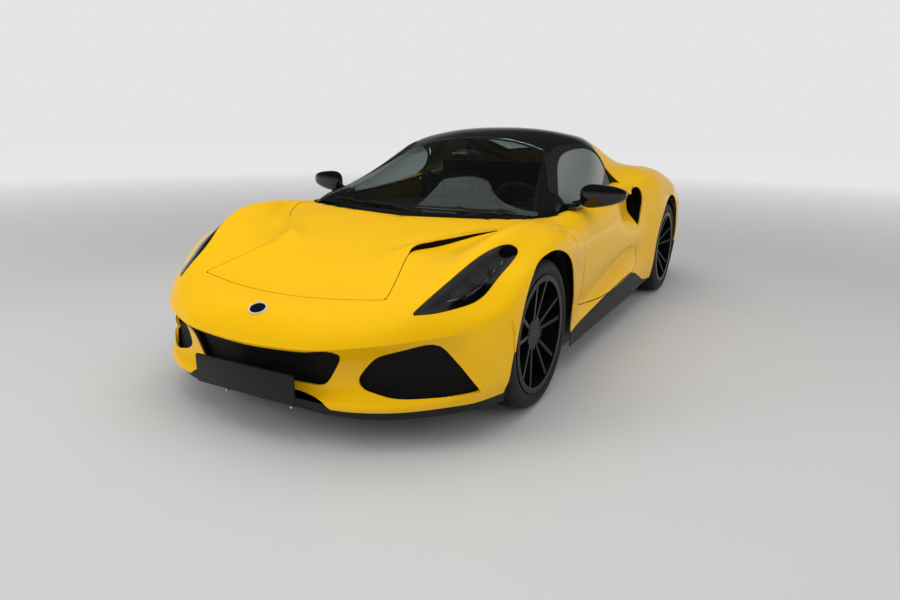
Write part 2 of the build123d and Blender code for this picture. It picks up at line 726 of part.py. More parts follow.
# ------------------------------------------------------------------ tub, cabin and mechanical parts
jack_pad_x, jack_pad_size, jack_pad_drop = 790.0, 80.0, 8.0
with BuildPart() as floor_tub:
    add(block((-860, tub_front_y, ride_height), (860, tub_rear_y, ride_height + 30)))
    for x in (-1, 1):
        sill = sorted((x * 690, x * 940))
        add(block((sill[0], tub_front_y, ride_height), (sill[1], tub_rear_y, door_base_z - 12)))
        post = sorted((x * 620, x * 800))
        add(block((post[0], tub_front_y, ride_height), (post[1], tub_front_y + wall, 740)))
        post = sorted((x * 620, x * 770))
        add(block((post[0], tub_rear_y - wall, ride_height), (post[1], tub_rear_y, 860)))
    add(block((-620, tub_front_y, ride_height), (620, tub_front_y + wall, 740)))
    add(block((-620, tub_rear_y - wall, ride_height), (620, tub_rear_y, 940)))
    add(deep_inside, mode=Mode.INTERSECT)
    add(both_sides(door_cut), mode=Mode.SUBTRACT)
    for x in (-jack_pad_x, jack_pad_x):
        for y in (front_y + 600, front_y + 1720):
            add(block((x - jack_pad_size / 2, y - jack_pad_size / 2, ride_height - jack_pad_drop),
                      (x + jack_pad_size / 2, y + jack_pad_size / 2, ride_height)))
keep("floor_tub", floor_tub.part)

seat_x, floor_top = 375.0, ride_height + 30
with BuildPart() as seat:
    with BuildSketch(Plane.YZ.offset(seat_x - 245)):
        with BuildLine():
            Polyline(
                (front_y + 1090, floor_top), (front_y + 1060, 300), (front_y + 1110, 340),
                (front_y + 1500, 290), (front_y + 1660, 760), (front_y + 1710, 945),
                (front_y + 1775, 930), (front_y + 1765, 760), (front_y + 1640, floor_top), close=True
            )
        make_face()
    extrude(amount=490)
keep("seats", both_sides(seat.part))

with BuildPart() as dashboard:
    with BuildSketch(Plane.YZ.offset(-680)):
        with BuildLine():
            Polyline(
                (tub_front_y + wall, 560), (tub_front_y + wall, 775), (front_y + 700, 815),
                (front_y + 850, 815), (front_y + 880, 740), (front_y + 800, 640),
                (front_y + 700, 560), close=True
            )
        make_face()
    extrude(amount=1360)
    add(lower_body(skin + 20), mode=Mode.INTERSECT)
keep("dashboard", dashboard.part)

with BuildPart() as centre_console:
    with BuildSketch(Plane.YZ.offset(-110)):
        with BuildLine():
            Polyline(
                (tub_front_y + wall, floor_top), (tub_front_y + wall, 559), (front_y + 640, 559),
                (front_y + 1000, 470), (front_y + 1790, 440), (front_y + 1790, floor_top), close=True
            )
        make_face()
    extrude(amount=220)
keep("centre_console", centre_console.part)

wheel_tilt = 22.0
column = (0, -math.cos(math.radians(wheel_tilt)), -math.sin(math.radians(wheel_tilt)))
steering_plane = Plane(origin=(seat_x, front_y + 1010, 745), x_dir=(1, 0, 0), z_dir=column)
with BuildPart() as steering_wheel:
    with BuildSketch(Plane(origin=steering_plane.origin, x_dir=steering_plane.y_dir, z_dir=(1, 0, 0))):
        with Locations((172, 0)):
            Circle(14)
    revolve(axis=Axis(steering_plane.origin, column))
    with BuildSketch(steering_plane.offset(-12)):
        Circle(56)
        Rectangle(330, 34)
    extrude(amount=24)
    with BuildSketch(steering_plane.offset(12)):
        Circle(24)
    extrude(amount=200)
    add(dashboard.part, mode=Mode.SUBTRACT)
keep("steering_wheel", steering_wheel.part)

with BuildPart() as front_subframe:
    for x in (-380, 340):
        add(block((x, front_y - 560, 150), (x + 40, tub_front_y, 240)))
        add(block((x, front_y - 200, 240), (x + 40, front_y + 200, 520)))
    for y in (front_y - 560, front_y - 200, front_y + 160):
        add(block((-340, y, 160), (340, y + 40, 220)))
keep("front_subframe", front_subframe.part)

with BuildPart() as rear_subframe:
    for x in (-400, 360):
        add(block((x, tub_rear_y, 150), (x + 40, rear_y + 560, 240)))
        add(block((x, rear_y - 200, 240), (x + 40, rear_y + 200, 520)))
    for y in (rear_y - 300, rear_y + 520):
        add(block((-360, y, 160), (360, y + 40, 220)))
keep("rear_subframe", rear_subframe.part)

with BuildPart() as engine:
    add(block((-280, tub_rear_y + 60, 240), (280, rear_y - 60, 560)))
    add(block((-180, rear_y - 60, 240), (180, rear_y + 360, 500)))
    for x in (-1, 1):
        bank = Plane(origin=(x * 150, tub_rear_y + 90, 545), x_dir=(math.cos(0.5), 0, -x * math.sin(0.5)),
                     z_dir=(0, 1, 0))
        with BuildSketch(bank):
            Rectangle(190, 230)
        extrude(amount=460)
    add(block((-110, tub_rear_y + 110, 560), (110, rear_y - 130, 780)))
    for x in (-280, 280):
        foot = sorted((x, x * 1.28))
        add(block((foot[0], tub_rear_y + 200, 240), (foot[1], tub_rear_y + 260, 300)))
    for x in (-exhaust_x, exhaust_x):
        add(rod((x, rear_y + 330, exhaust_z), (x, tail_y - 260, exhaust_z), 35))
    add(block((-400, rear_y + 330, 245), (400, rear_y + 500, 400)))
keep("engine", engine.part)

def liner(axle_y, axle_z):
    """The left wheel bay's lining, cut back under the bonnet."""
    inner, outer = arch_radius + seat_gap, arch_radius + seat_gap + liner_thickness
    with BuildPart() as lining:
        add(wheel_bay(bay_x, 1050, outer, axle_y, axle_z))
        add(wheel_bay(bay_x, 1050, inner, axle_y, axle_z), mode=Mode.SUBTRACT)
        add(block((0, axle_y - 500, lower_split_z + 5), (1050, axle_y + 500, 1000)), mode=Mode.INTERSECT)
        add(deep_inside, mode=Mode.INTERSECT)
        add(lid_space.part, mode=Mode.SUBTRACT)
    return lining.part


with BuildPart() as arch_liners:
    add(both_sides(liner(front_y, front_tyre_radius)))
    add(both_sides(liner(rear_y, rear_tyre_radius)))
keep("arch_liners", arch_liners.part)

# ------------------------------------------------------------------ wheels and suspension
def tyre(half_wide, outer_radius):
    """A hollow tyre about the X axis, its mid plane at the origin."""
    bead = half_wide - flange_thickness - 14
    with BuildPart() as ring:
        with BuildSketch(Plane.XZ):
            with BuildLine():
                shoulder, crown = half_wide - 22, outer_radius
                bulge = (half_wide, (bead_radius + outer_radius) / 2)
                Line((-shoulder, crown - 6), (0, crown))
                Line((0, crown), (shoulder, crown - 6))
                ThreePointArc((shoulder, crown - 6), bulge, (bead + 10, bead_radius + 14))
                Line((bead + 10, bead_radius + 14), (bead + 10, bead_radius + seat_gap))
                Line((bead + 10, bead_radius + seat_gap), (bead - 10, bead_radius + seat_gap))
                inner_bulge = (half_wide - tyre_wall, (bead_radius + outer_radius) / 2)
                inner_shoulder = (shoulder - tyre_wall, crown - 8 - tyre_wall)
                ThreePointArc((bead - 10, bead_radius + seat_gap), inner_bulge, inner_shoulder)
                Line(inner_shoulder, (-inner_shoulder[0], inner_shoulder[1]))
                ThreePointArc((-inner_shoulder[0], inner_shoulder[1]), (-inner_bulge[0], inner_bulge[1]),
                              (10 - bead, bead_radius + seat_gap))
                Line((10 - bead, bead_radius + seat_gap), (-bead - 10, bead_radius + seat_gap))
                Line((-bead - 10, bead_radius + seat_gap), (-bead - 10, bead_radius + 14))
                ThreePointArc((-bead - 10, bead_radius + 14), (-bulge[0], bulge[1]), (-shoulder, crown - 6))
            make_face()
            with Locations(*[(x * half_wide, outer_radius) for x in (-0.5, -0.17, 0.17, 0.5)]):
                Rectangle(9, 2 * tread_groove + 6, mode=Mode.SUBTRACT)
        revolve(axis=Axis.X)
    return ring.part


def rim(half_wide):
    """A rim with paired spokes about the X axis, and the brake disc behind it, outboard towards +X."""
    edge = half_wide - 4
    seat = edge - flange_thickness
    with BuildPart() as wheel:
        with BuildSketch(Plane.XZ):
            with BuildLine():
                Polyline(
                    (-edge, bead_radius - barrel_wall), (edge, bead_radius - barrel_wall),
                    (edge, bead_radius + flange_height), (seat, bead_radius + flange_height),
                    (seat, bead_radius), (-seat, bead_radius), (-seat, bead_radius + flange_height),
                    (-edge, bead_radius + flange_height), close=True,
                )
            make_face()
        revolve(axis=Axis.X)
        hub_face = disc_outer_x + 76
        with BuildSketch(Plane.YZ.offset(disc_outer_x)):
            Circle(hub_radius)
        extrude(amount=hub_face - disc_outer_x)
        for pair in range(spoke_pairs):
            for side in (-1, 1):
                angle = 90 + pair * 360 / spoke_pairs + side * spoke_spread
                spoke = Plane(origin=(0, 0, 0), x_dir=(0, math.cos(math.radians(angle)),
                                                      math.sin(math.radians(angle))),
                              z_dir=(0, -math.sin(math.radians(angle)), math.cos(math.radians(angle))))
                with BuildSketch(spoke.offset(-spoke_width / 2)):
                    with BuildLine():
                        Polyline(
                            (55, -(hub_face - 40)), (55, -hub_face), (243, 4 - edge), (243, 46 - edge),
                            close=True,
                        )
                    make_face()
                extrude(amount=spoke_width)
        with BuildSketch(Plane.YZ.offset(disc_outer_x - 1)):
            Circle(spindle_radius + running_fit)
        extrude(amount=60, mode=Mode.SUBTRACT)
    with BuildPart() as disc:
        with BuildSketch(Plane.YZ.offset(disc_inner_x)):
            Circle(disc_radius)
            Circle(spindle_radius + running_fit, mode=Mode.SUBTRACT)
        extrude(amount=disc_outer_x - disc_inner_x)
    return wheel.part, disc.part


def upright(caliper_side, lugs):
    """The upright behind the wheel with its spindle and caliper, outboard towards +X."""
    with BuildPart() as post:
        with BuildSketch(Plane.YZ.offset(kingpin_x - 16)):
            Rectangle(70, 200)
            Circle(60)
            with Locations((caliper_side * 70, 0)):
                Rectangle(140, 60)
        extrude(amount=32 - 10)
        add(block((kingpin_x - 16, -22, -100), (kingpin_x + 16, 22, 100)))
        add(rod((kingpin_x, 0, 0), (disc_outer_x + 55, 0, 0), spindle_radius))
        near, far = sorted((caliper_side * 118, caliper_side * 208))
        add(block((disc_inner_x - 38, near, -75), (disc_outer_x + 33, far, 75)))
        add(rod((disc_inner_x - 6, 0, 0), (disc_outer_x + 6, 0, 0), disc_radius + 6)
            - rod((disc_inner_x - 6, 0, 0), (disc_outer_x + 6, 0, 0), spindle_radius), mode=Mode.SUBTRACT)
        if lugs:
            for z in (-101, 61):
                add(rod((kingpin_x, 0, z), (kingpin_x, 0, z + 40), kingpin_radius + running_fit),
                    mode=Mode.SUBTRACT)
    return post.part


def placed(part, x, y, z):
    """The part moved to a wheel's place."""
    return part.moved(Location((x, y, z)))


corners = [  # name, axle y, mid plane x, half tyre width, tyre radius, caliper towards, steered
    ("front", front_y, front_wheel_x, front_tyre_width / 2, front_tyre_radius, 1, True),
    ("rear", rear_y, rear_wheel_x, rear_tyre_width / 2, rear_tyre_radius, -1, False),
]
rear_uprights = []
for name, axle_y, wheel_x, half_wide, axle_z, caliper_side, steered in corners:
    ring = placed(tyre(half_wide, axle_z), wheel_x, axle_y, axle_z)
    wheel, disc = (placed(piece, wheel_x, axle_y, axle_z) for piece in rim(half_wide))
    post = placed(upright(caliper_side, steered), wheel_x, axle_y, axle_z)
    keep(f"tyre_{name}_left", ring)
    keep(f"tyre_{name}_right", other_side(ring))
    keep(f"rim_{name}_left", wheel)
    keep(f"rim_{name}_right", other_side(wheel))
    keep(f"disc_{name}_left", disc)
    keep(f"disc_{name}_right", other_side(disc))
    if steered:
        keep("upright_front_left", post)
        keep("upright_front_right", other_side(post))
    else:
        keep("rear_uprights", both_sides(post))

with BuildPart() as arms:  # wishbones, left side: inner ends on the subframes' towers
    for axle_y, axle_z, wheel_x, inner_x, pin in (
        (front_y, front_tyre_radius, front_wheel_x, 380, True),
        (rear_y, rear_tyre_radius, rear_wheel_x, 400, False),
    ):
        ball_x = wheel_x + kingpin_x
        for up in (-1, 1):
            arm_z = axle_z + up * 118
            for along in (-130, 130):
                add(rod((inner_x + seat_gap, axle_y + along, arm_z), (ball_x - 12, axle_y, arm_z), 12))
            if pin:
                add(rod((ball_x, axle_y, axle_z + up * 106), (ball_x, axle_y, axle_z + up * 130), 20))
                add(rod((ball_x, axle_y, axle_z + up * 70), (ball_x, axle_y, axle_z + up * 110), kingpin_radius))
            else:
                low, high = sorted((axle_z + up * (100 + seat_gap), axle_z + up * 130))
                add(rod((ball_x, axle_y, low), (ball_x, axle_y, high), 20))
        damper_low = (wheel_x + kingpin_x - 90, axle_y + 30, axle_z - 106)
        add(rod(damper_low, (inner_x + 60, axle_y + 10, axle_z + 250), 14))
    for inner_x, axle_y, axle_z in ((380, front_y, front_tyre_radius), (400, rear_y, rear_tyre_radius)):
        add(block((inner_x - 20, axle_y - 250, 100), (inner_x + seat_gap, axle_y + 250, 600)),
            mode=Mode.SUBTRACT)
keep("suspension_arms", both_sides(arms.part))
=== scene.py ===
import math

import bpy
import numpy as np
from mathutils import Matrix, Vector


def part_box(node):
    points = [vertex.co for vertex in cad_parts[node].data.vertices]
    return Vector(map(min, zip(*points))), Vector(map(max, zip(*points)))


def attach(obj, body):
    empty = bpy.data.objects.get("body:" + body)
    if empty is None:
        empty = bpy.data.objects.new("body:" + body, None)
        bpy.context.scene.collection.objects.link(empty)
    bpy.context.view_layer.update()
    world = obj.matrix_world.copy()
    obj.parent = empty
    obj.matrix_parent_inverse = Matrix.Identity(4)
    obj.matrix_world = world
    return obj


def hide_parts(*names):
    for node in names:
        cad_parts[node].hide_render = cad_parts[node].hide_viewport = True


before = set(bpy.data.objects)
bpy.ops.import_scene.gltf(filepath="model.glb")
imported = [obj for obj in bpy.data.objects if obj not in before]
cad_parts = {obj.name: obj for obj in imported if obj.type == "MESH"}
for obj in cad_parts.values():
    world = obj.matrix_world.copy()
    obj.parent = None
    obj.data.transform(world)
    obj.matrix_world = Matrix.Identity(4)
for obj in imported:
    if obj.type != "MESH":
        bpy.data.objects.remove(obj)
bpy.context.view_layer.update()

AXLE = -1.3305  # front axle, along the car; every station below is measured behind it
REAR_AXLE = 2.575  # behind the front axle
PANEL = 0.004  # thickness of a body panel
THIN = 0.002  # thickness of a lining or flange
SHUT = 0.0022  # half of a shut line
GLASS_GAP = 0.001  # between a pane and the opening it fills
OVERLAP = 0.0005  # how far a lining reaches past the edge of its opening
CELL = .016  # mesh size of the skins
DIP_START, DIP_RUN, DIP_DEPTH = 1.39, .42, .070  # the hollow in the door's flank
DOOR_END = 1.8165  # the door's rear edge
TAIL_CORNER = 3.0  # where the tail lamps' openings begin
HEM = .315  # height of the tail's lower edge
SHEET_WELD = 0.00008  # points of a sheet that are nearer than this are one
NODE_WELD = 0.00002  # the same for a copy of one of the frame's meshes
CAP_RADIUS, BOLT_CIRCLE, BOLT_RADIUS = .034, .054, .009  # on each wheel
BACKDROP, FILL_LIGHT = 0.78, 0.68  # the world's strength as seen, and as it lights
MIRROR_AT = (.920, -.508, .880)  # middle of the left mirror shell
SEAT_AT = .375  # middle of the left seat, from the car's middle
SIDES = ((1, "left"), (-1, "right"))


# ---------------------------------------------------------------- materials
def shader(name, colour, rough=0.5, metal=0.0, **extra):
    """A material with one Principled shader, its plain numbers set on the shader itself."""
    material = bpy.data.materials.new(name)
    material.use_nodes = True
    node = material.node_tree.nodes["Principled BSDF"]
    node.inputs["Base Color"].default_value = (*colour, 1)
    node.inputs["Roughness"].default_value = rough
    node.inputs["Metallic"].default_value = metal
    for key, value in extra.items():
        node.inputs[key.replace("_", " ")].default_value = value
    return material


def finish_group(name, sockets):
    """An empty node group with named inputs, and colour, roughness and height out."""
    group = bpy.data.node_groups.new(name, "ShaderNodeTree")
    for socket, kind, value in sockets:
        made = group.interface.new_socket(name=socket, in_out="INPUT", socket_type=kind)
        made.default_value = value
    for socket, kind in (("Color", "NodeSocketColor"), ("Roughness", "NodeSocketFloat"),
                         ("Height", "NodeSocketFloat")):
        group.interface.new_socket(name=socket, in_out="OUTPUT", socket_type=kind)
    nodes = group.nodes
    return group, nodes.new("NodeGroupInput"), nodes.new("NodeGroupOutput")


def math_node(group, kind, *values):
    node = group.nodes.new("ShaderNodeMath")
    node.operation = kind
    for slot, value in enumerate(values):
        if isinstance(value, (int, float)):
            node.inputs[slot].default_value = value
        else:
            group.links.new(value, node.inputs[slot])
    return node.outputs[0]


def noise(group, scale, detail=3.0, rough=0.5):
    place = group.nodes.new("ShaderNodeTexCoord")
    node = group.nodes.new("ShaderNodeTexNoise")
    group.links.new(place.outputs["Object"], node.inputs["Vector"])
    if isinstance(scale, (int, float)):
        node.inputs["Scale"].default_value = scale
    else:
        group.links.new(scale, node.inputs["Scale"])
    node.inputs["Detail"].default_value = detail
    node.inputs["Roughness"].default_value = rough
    return node.outputs["Fac"]


def mixed(group, factor, first, second):
    node = group.nodes.new("ShaderNodeMix")
    node.data_type = "RGBA"
    for slot, value in ((0, factor), (6, first), (7, second)):
        if hasattr(value, "is_output"):
            group.links.new(value, node.inputs[slot])
        else:
            node.inputs[slot].default_value = value
    return node.outputs[2]


def build_grain():
    """Fine and broad variation of a moulded, cast or painted surface."""
    group, into, out = finish_group("surface grain", [
        ("Color", "NodeSocketColor", (0.5, 0.5, 0.5, 1)), ("Second", "NodeSocketColor", (0.4, 0.4, 0.4, 1)),
        ("Spread", "NodeSocketFloat", 0.3), ("Scale", "NodeSocketFloat", 200.0),
        ("Roughness", "NodeSocketFloat", 0.5), ("Range", "NodeSocketFloat", 0.1)])
    fine = noise(group, into.outputs["Scale"], 4.0, 0.6)
    broad = noise(group, 3.0, 2.0)
    mask = math_node(group, "MULTIPLY", math_node(group, "MULTIPLY", fine, broad), into.outputs["Spread"])
    group.links.new(mixed(group, mask, into.outputs["Color"], into.outputs["Second"]), out.inputs["Color"])
    swing = math_node(group, "MULTIPLY", math_node(group, "SUBTRACT", broad, 0.5), into.outputs["Range"])
    group.links.new(math_node(group, "ADD", into.outputs["Roughness"], swing), out.inputs["Roughness"])
    group.links.new(fine, out.inputs["Height"])
    return group


def build_leather():
    """Pebbled hide: rounded cells with creases between, the creases darkened with painted shade."""
    group, into, out = finish_group("leather grain", [
        ("Color", "NodeSocketColor", (0.03, 0.03, 0.03, 1)), ("Scale", "NodeSocketFloat", 260.0),
        ("Roughness", "NodeSocketFloat", 0.5)])
    place = group.nodes.new("ShaderNodeTexCoord")
    cells = group.nodes.new("ShaderNodeTexVoronoi")
    cells.feature = "DISTANCE_TO_EDGE"
    group.links.new(place.outputs["Object"], cells.inputs["Vector"])
    group.links.new(into.outputs["Scale"], cells.inputs["Scale"])
    height = math_node(group, "MINIMUM", math_node(group, "MULTIPLY", cells.outputs["Distance"], 3.0), 0.4)
    # painted shade: the colour darkens down into the creases between the cells
    dark = mixed(group, math_node(group, "MULTIPLY", height, 2.4), (0.008, 0.008, 0.008, 1),
                 into.outputs["Color"])
    group.links.new(dark, out.inputs["Color"])
    group.links.new(math_node(group, "ADD", into.outputs["Roughness"],
                              math_node(group, "MULTIPLY", noise(group, 9.0), 0.12)), out.inputs["Roughness"])
    group.links.new(height, out.inputs["Height"])
    return group


GRAIN = build_grain()
LEATHER = build_leather()


def dressed(material, group, strength, depth, **values):
    """Feeds a material's shader from a finish group, its height through a bump."""
    tree = material.node_tree
    node = tree.nodes.new("ShaderNodeGroup")
    node.node_tree = group
    for key, value in values.items():
        node.inputs[key].default_value = (*value, 1) if isinstance(value, tuple) else value
    face = tree.nodes["Principled BSDF"]
    tree.links.new(node.outputs["Color"], face.inputs["Base Color"])
    tree.links.new(node.outputs["Roughness"], face.inputs["Roughness"])
    bump = tree.nodes.new("ShaderNodeBump")
    bump.inputs["Strength"].default_value = strength
    bump.inputs["Distance"].default_value = depth
    tree.links.new(node.outputs["Height"], bump.inputs["Height"])
    tree.links.new(bump.outputs["Normal"], face.inputs["Normal"])
    return material


def grained(name, colour, second, rough, scale=200.0, spread=0.5, swing=0.1, strength=0.15, depth=0.0004,
            metal=0.0, **extra):
    return dressed(shader(name, colour, rough, metal, **extra), GRAIN, strength, depth, Color=colour,
                   Second=second, Spread=spread, Scale=scale, Roughness=rough, Range=swing)


yellow_paint = grained("yellow paint", (0.89, 0.50, 0.0), (0.82, 0.43, 0.0), 0.5, scale=700.0, spread=0.4,
                       swing=0.03, strength=0.012, depth=0.0003, Coat_Weight=0.5, Coat_Roughness=0.03,
                       Specular_IOR_Level=0.08)
black_gloss = grained("gloss black paint", (0.004, 0.004, 0.0045), (0.007, 0.007, 0.007), 0.2, scale=600.0,
                      swing=0.05, strength=0.01, Coat_Weight=0.9, Coat_Roughness=0.03, Specular_IOR_Level=0.1)
black_trim = grained("satin black moulding", (0.014, 0.014, 0.014), (0.03, 0.03, 0.03), 0.5, scale=900.0,
                     swing=0.15, strength=0.25, Specular_IOR_Level=0.2)
black_lining = grained("black lining", (0.006, 0.006, 0.006), (0.014, 0.014, 0.014), 0.9, scale=300.0,
                       Specular_IOR_Level=0.05)
hub_black = grained("hub black", (0.02, 0.02, 0.02), (0.04, 0.04, 0.04), 0.28, scale=500.0, swing=0.1,
                    strength=0.05, Specular_IOR_Level=0.4)
lamp_unit = grained("lamp unit", (0.05, 0.05, 0.05), (0.09, 0.09, 0.09), 0.35, scale=300.0, swing=0.1,
                    strength=0.05, Specular_IOR_Level=0.4)
rubber = grained("tyre rubber", (0.013, 0.013, 0.013), (0.024, 0.023, 0.022), 0.62, scale=500.0, swing=0.2,
                 strength=0.2, Specular_IOR_Level=0.25)
wheel_black = grained("gloss black wheel", (0.005, 0.005, 0.005), (0.009, 0.009, 0.009), 0.22, scale=400.0,
                      swing=0.08, strength=0.02, Coat_Weight=0.22, Coat_Roughness=0.06,
                      Specular_IOR_Level=0.05)
disc_steel = grained("brake steel", (0.32, 0.32, 0.32), (0.20, 0.19, 0.18), 0.34, scale=160.0, metal=1.0,
                     swing=0.2)
cast_grey = grained("cast grey metal", (0.16, 0.16, 0.165), (0.09, 0.09, 0.09), 0.5, scale=260.0, metal=0.8,
                    swing=0.2, strength=0.3)
dark_metal = grained("dark engine metal", (0.07, 0.07, 0.075), (0.03, 0.03, 0.03), 0.45, scale=180.0,
                     metal=0.7)
bright_metal = grained("bright metal", (0.62, 0.62, 0.63), (0.45, 0.45, 0.45), 0.16, scale=300.0, metal=1.0,
                       swing=0.08, strength=0.02)
tub_black = grained("dark tub", (0.03, 0.03, 0.031), (0.015, 0.015, 0.015), 0.6, scale=220.0)
cabin_black = grained("cabin trim", (0.022, 0.022, 0.023), (0.04, 0.04, 0.04), 0.7, scale=1100.0,
                      strength=0.3, Specular_IOR_Level=0.15)
satin_plate = grained("black plate", (0.010, 0.010, 0.010), (0.018, 0.018, 0.018), 0.33, scale=400.0,
                      Specular_IOR_Level=0.2)
seat_leather = dressed(shader("black leather", (0.03, 0.03, 0.03), 0.45), LEATHER, 0.35, 0.0008,
                       Color=(0.030, 0.030, 0.031), Scale=330.0, Roughness=0.42)
screen_glass = shader("dark screen glass", (0.64, 0.75, 0.72), 0.0, Transmission_Weight=1.0, IOR=1.45)
# side glass: about a quarter of it is diffuse pale grey-green, a painted reflection of a pale wall
side_glass = shader("side glass", (0.58, 0.64, 0.61), 0.0, Transmission_Weight=0.76, IOR=1.6)
lamp_glass = shader("smoked lamp cover", (0.50, 0.51, 0.52), 0.0, Transmission_Weight=1.0, IOR=1.45)
red_lamp = grained("red lamp glass", (0.36, 0.002, 0.002), (0.16, 0.001, 0.001), 0.12, scale=240.0,
                   Specular_IOR_Level=0.2, Coat_Weight=0.5, Coat_Roughness=0.02)
light_strip = grained("lamp light strip", (0.80, 0.82, 0.85), (0.70, 0.71, 0.72), 0.2, scale=500.0, metal=0.3)
mirror_glass = shader("mirror glass", (0.7, 0.72, 0.73), 0.02, 1.0)


def build_mesh_grille():
    """Woven diamond mesh: open cells between crossed wires."""
    material = shader("black mesh", (0.010, 0.010, 0.010), 0.5, Specular_IOR_Level=0.15)
    tree = material.node_tree
    place = tree.nodes.new("ShaderNodeTexCoord")
    parts = tree.nodes.new("ShaderNodeSeparateXYZ")
    tree.links.new(place.outputs["Object"], parts.inputs[0])
    wires = []
    for sign in (1.0, -1.0):
        slope = math_node(tree, "MULTIPLY", parts.outputs["Z"], sign * 1.7)
        phase = math_node(tree, "MULTIPLY", math_node(tree, "ADD", parts.outputs["X"], slope), 260.0)
        wave = math_node(tree, "ABSOLUTE", math_node(tree, "SINE", phase))
        wires.append(math_node(tree, "GREATER_THAN", wave, 0.80))
    solid = math_node(tree, "MAXIMUM", *wires)
    tree.links.new(solid, tree.nodes["Principled BSDF"].inputs["Alpha"])
    return material


black_mesh = build_mesh_grille()


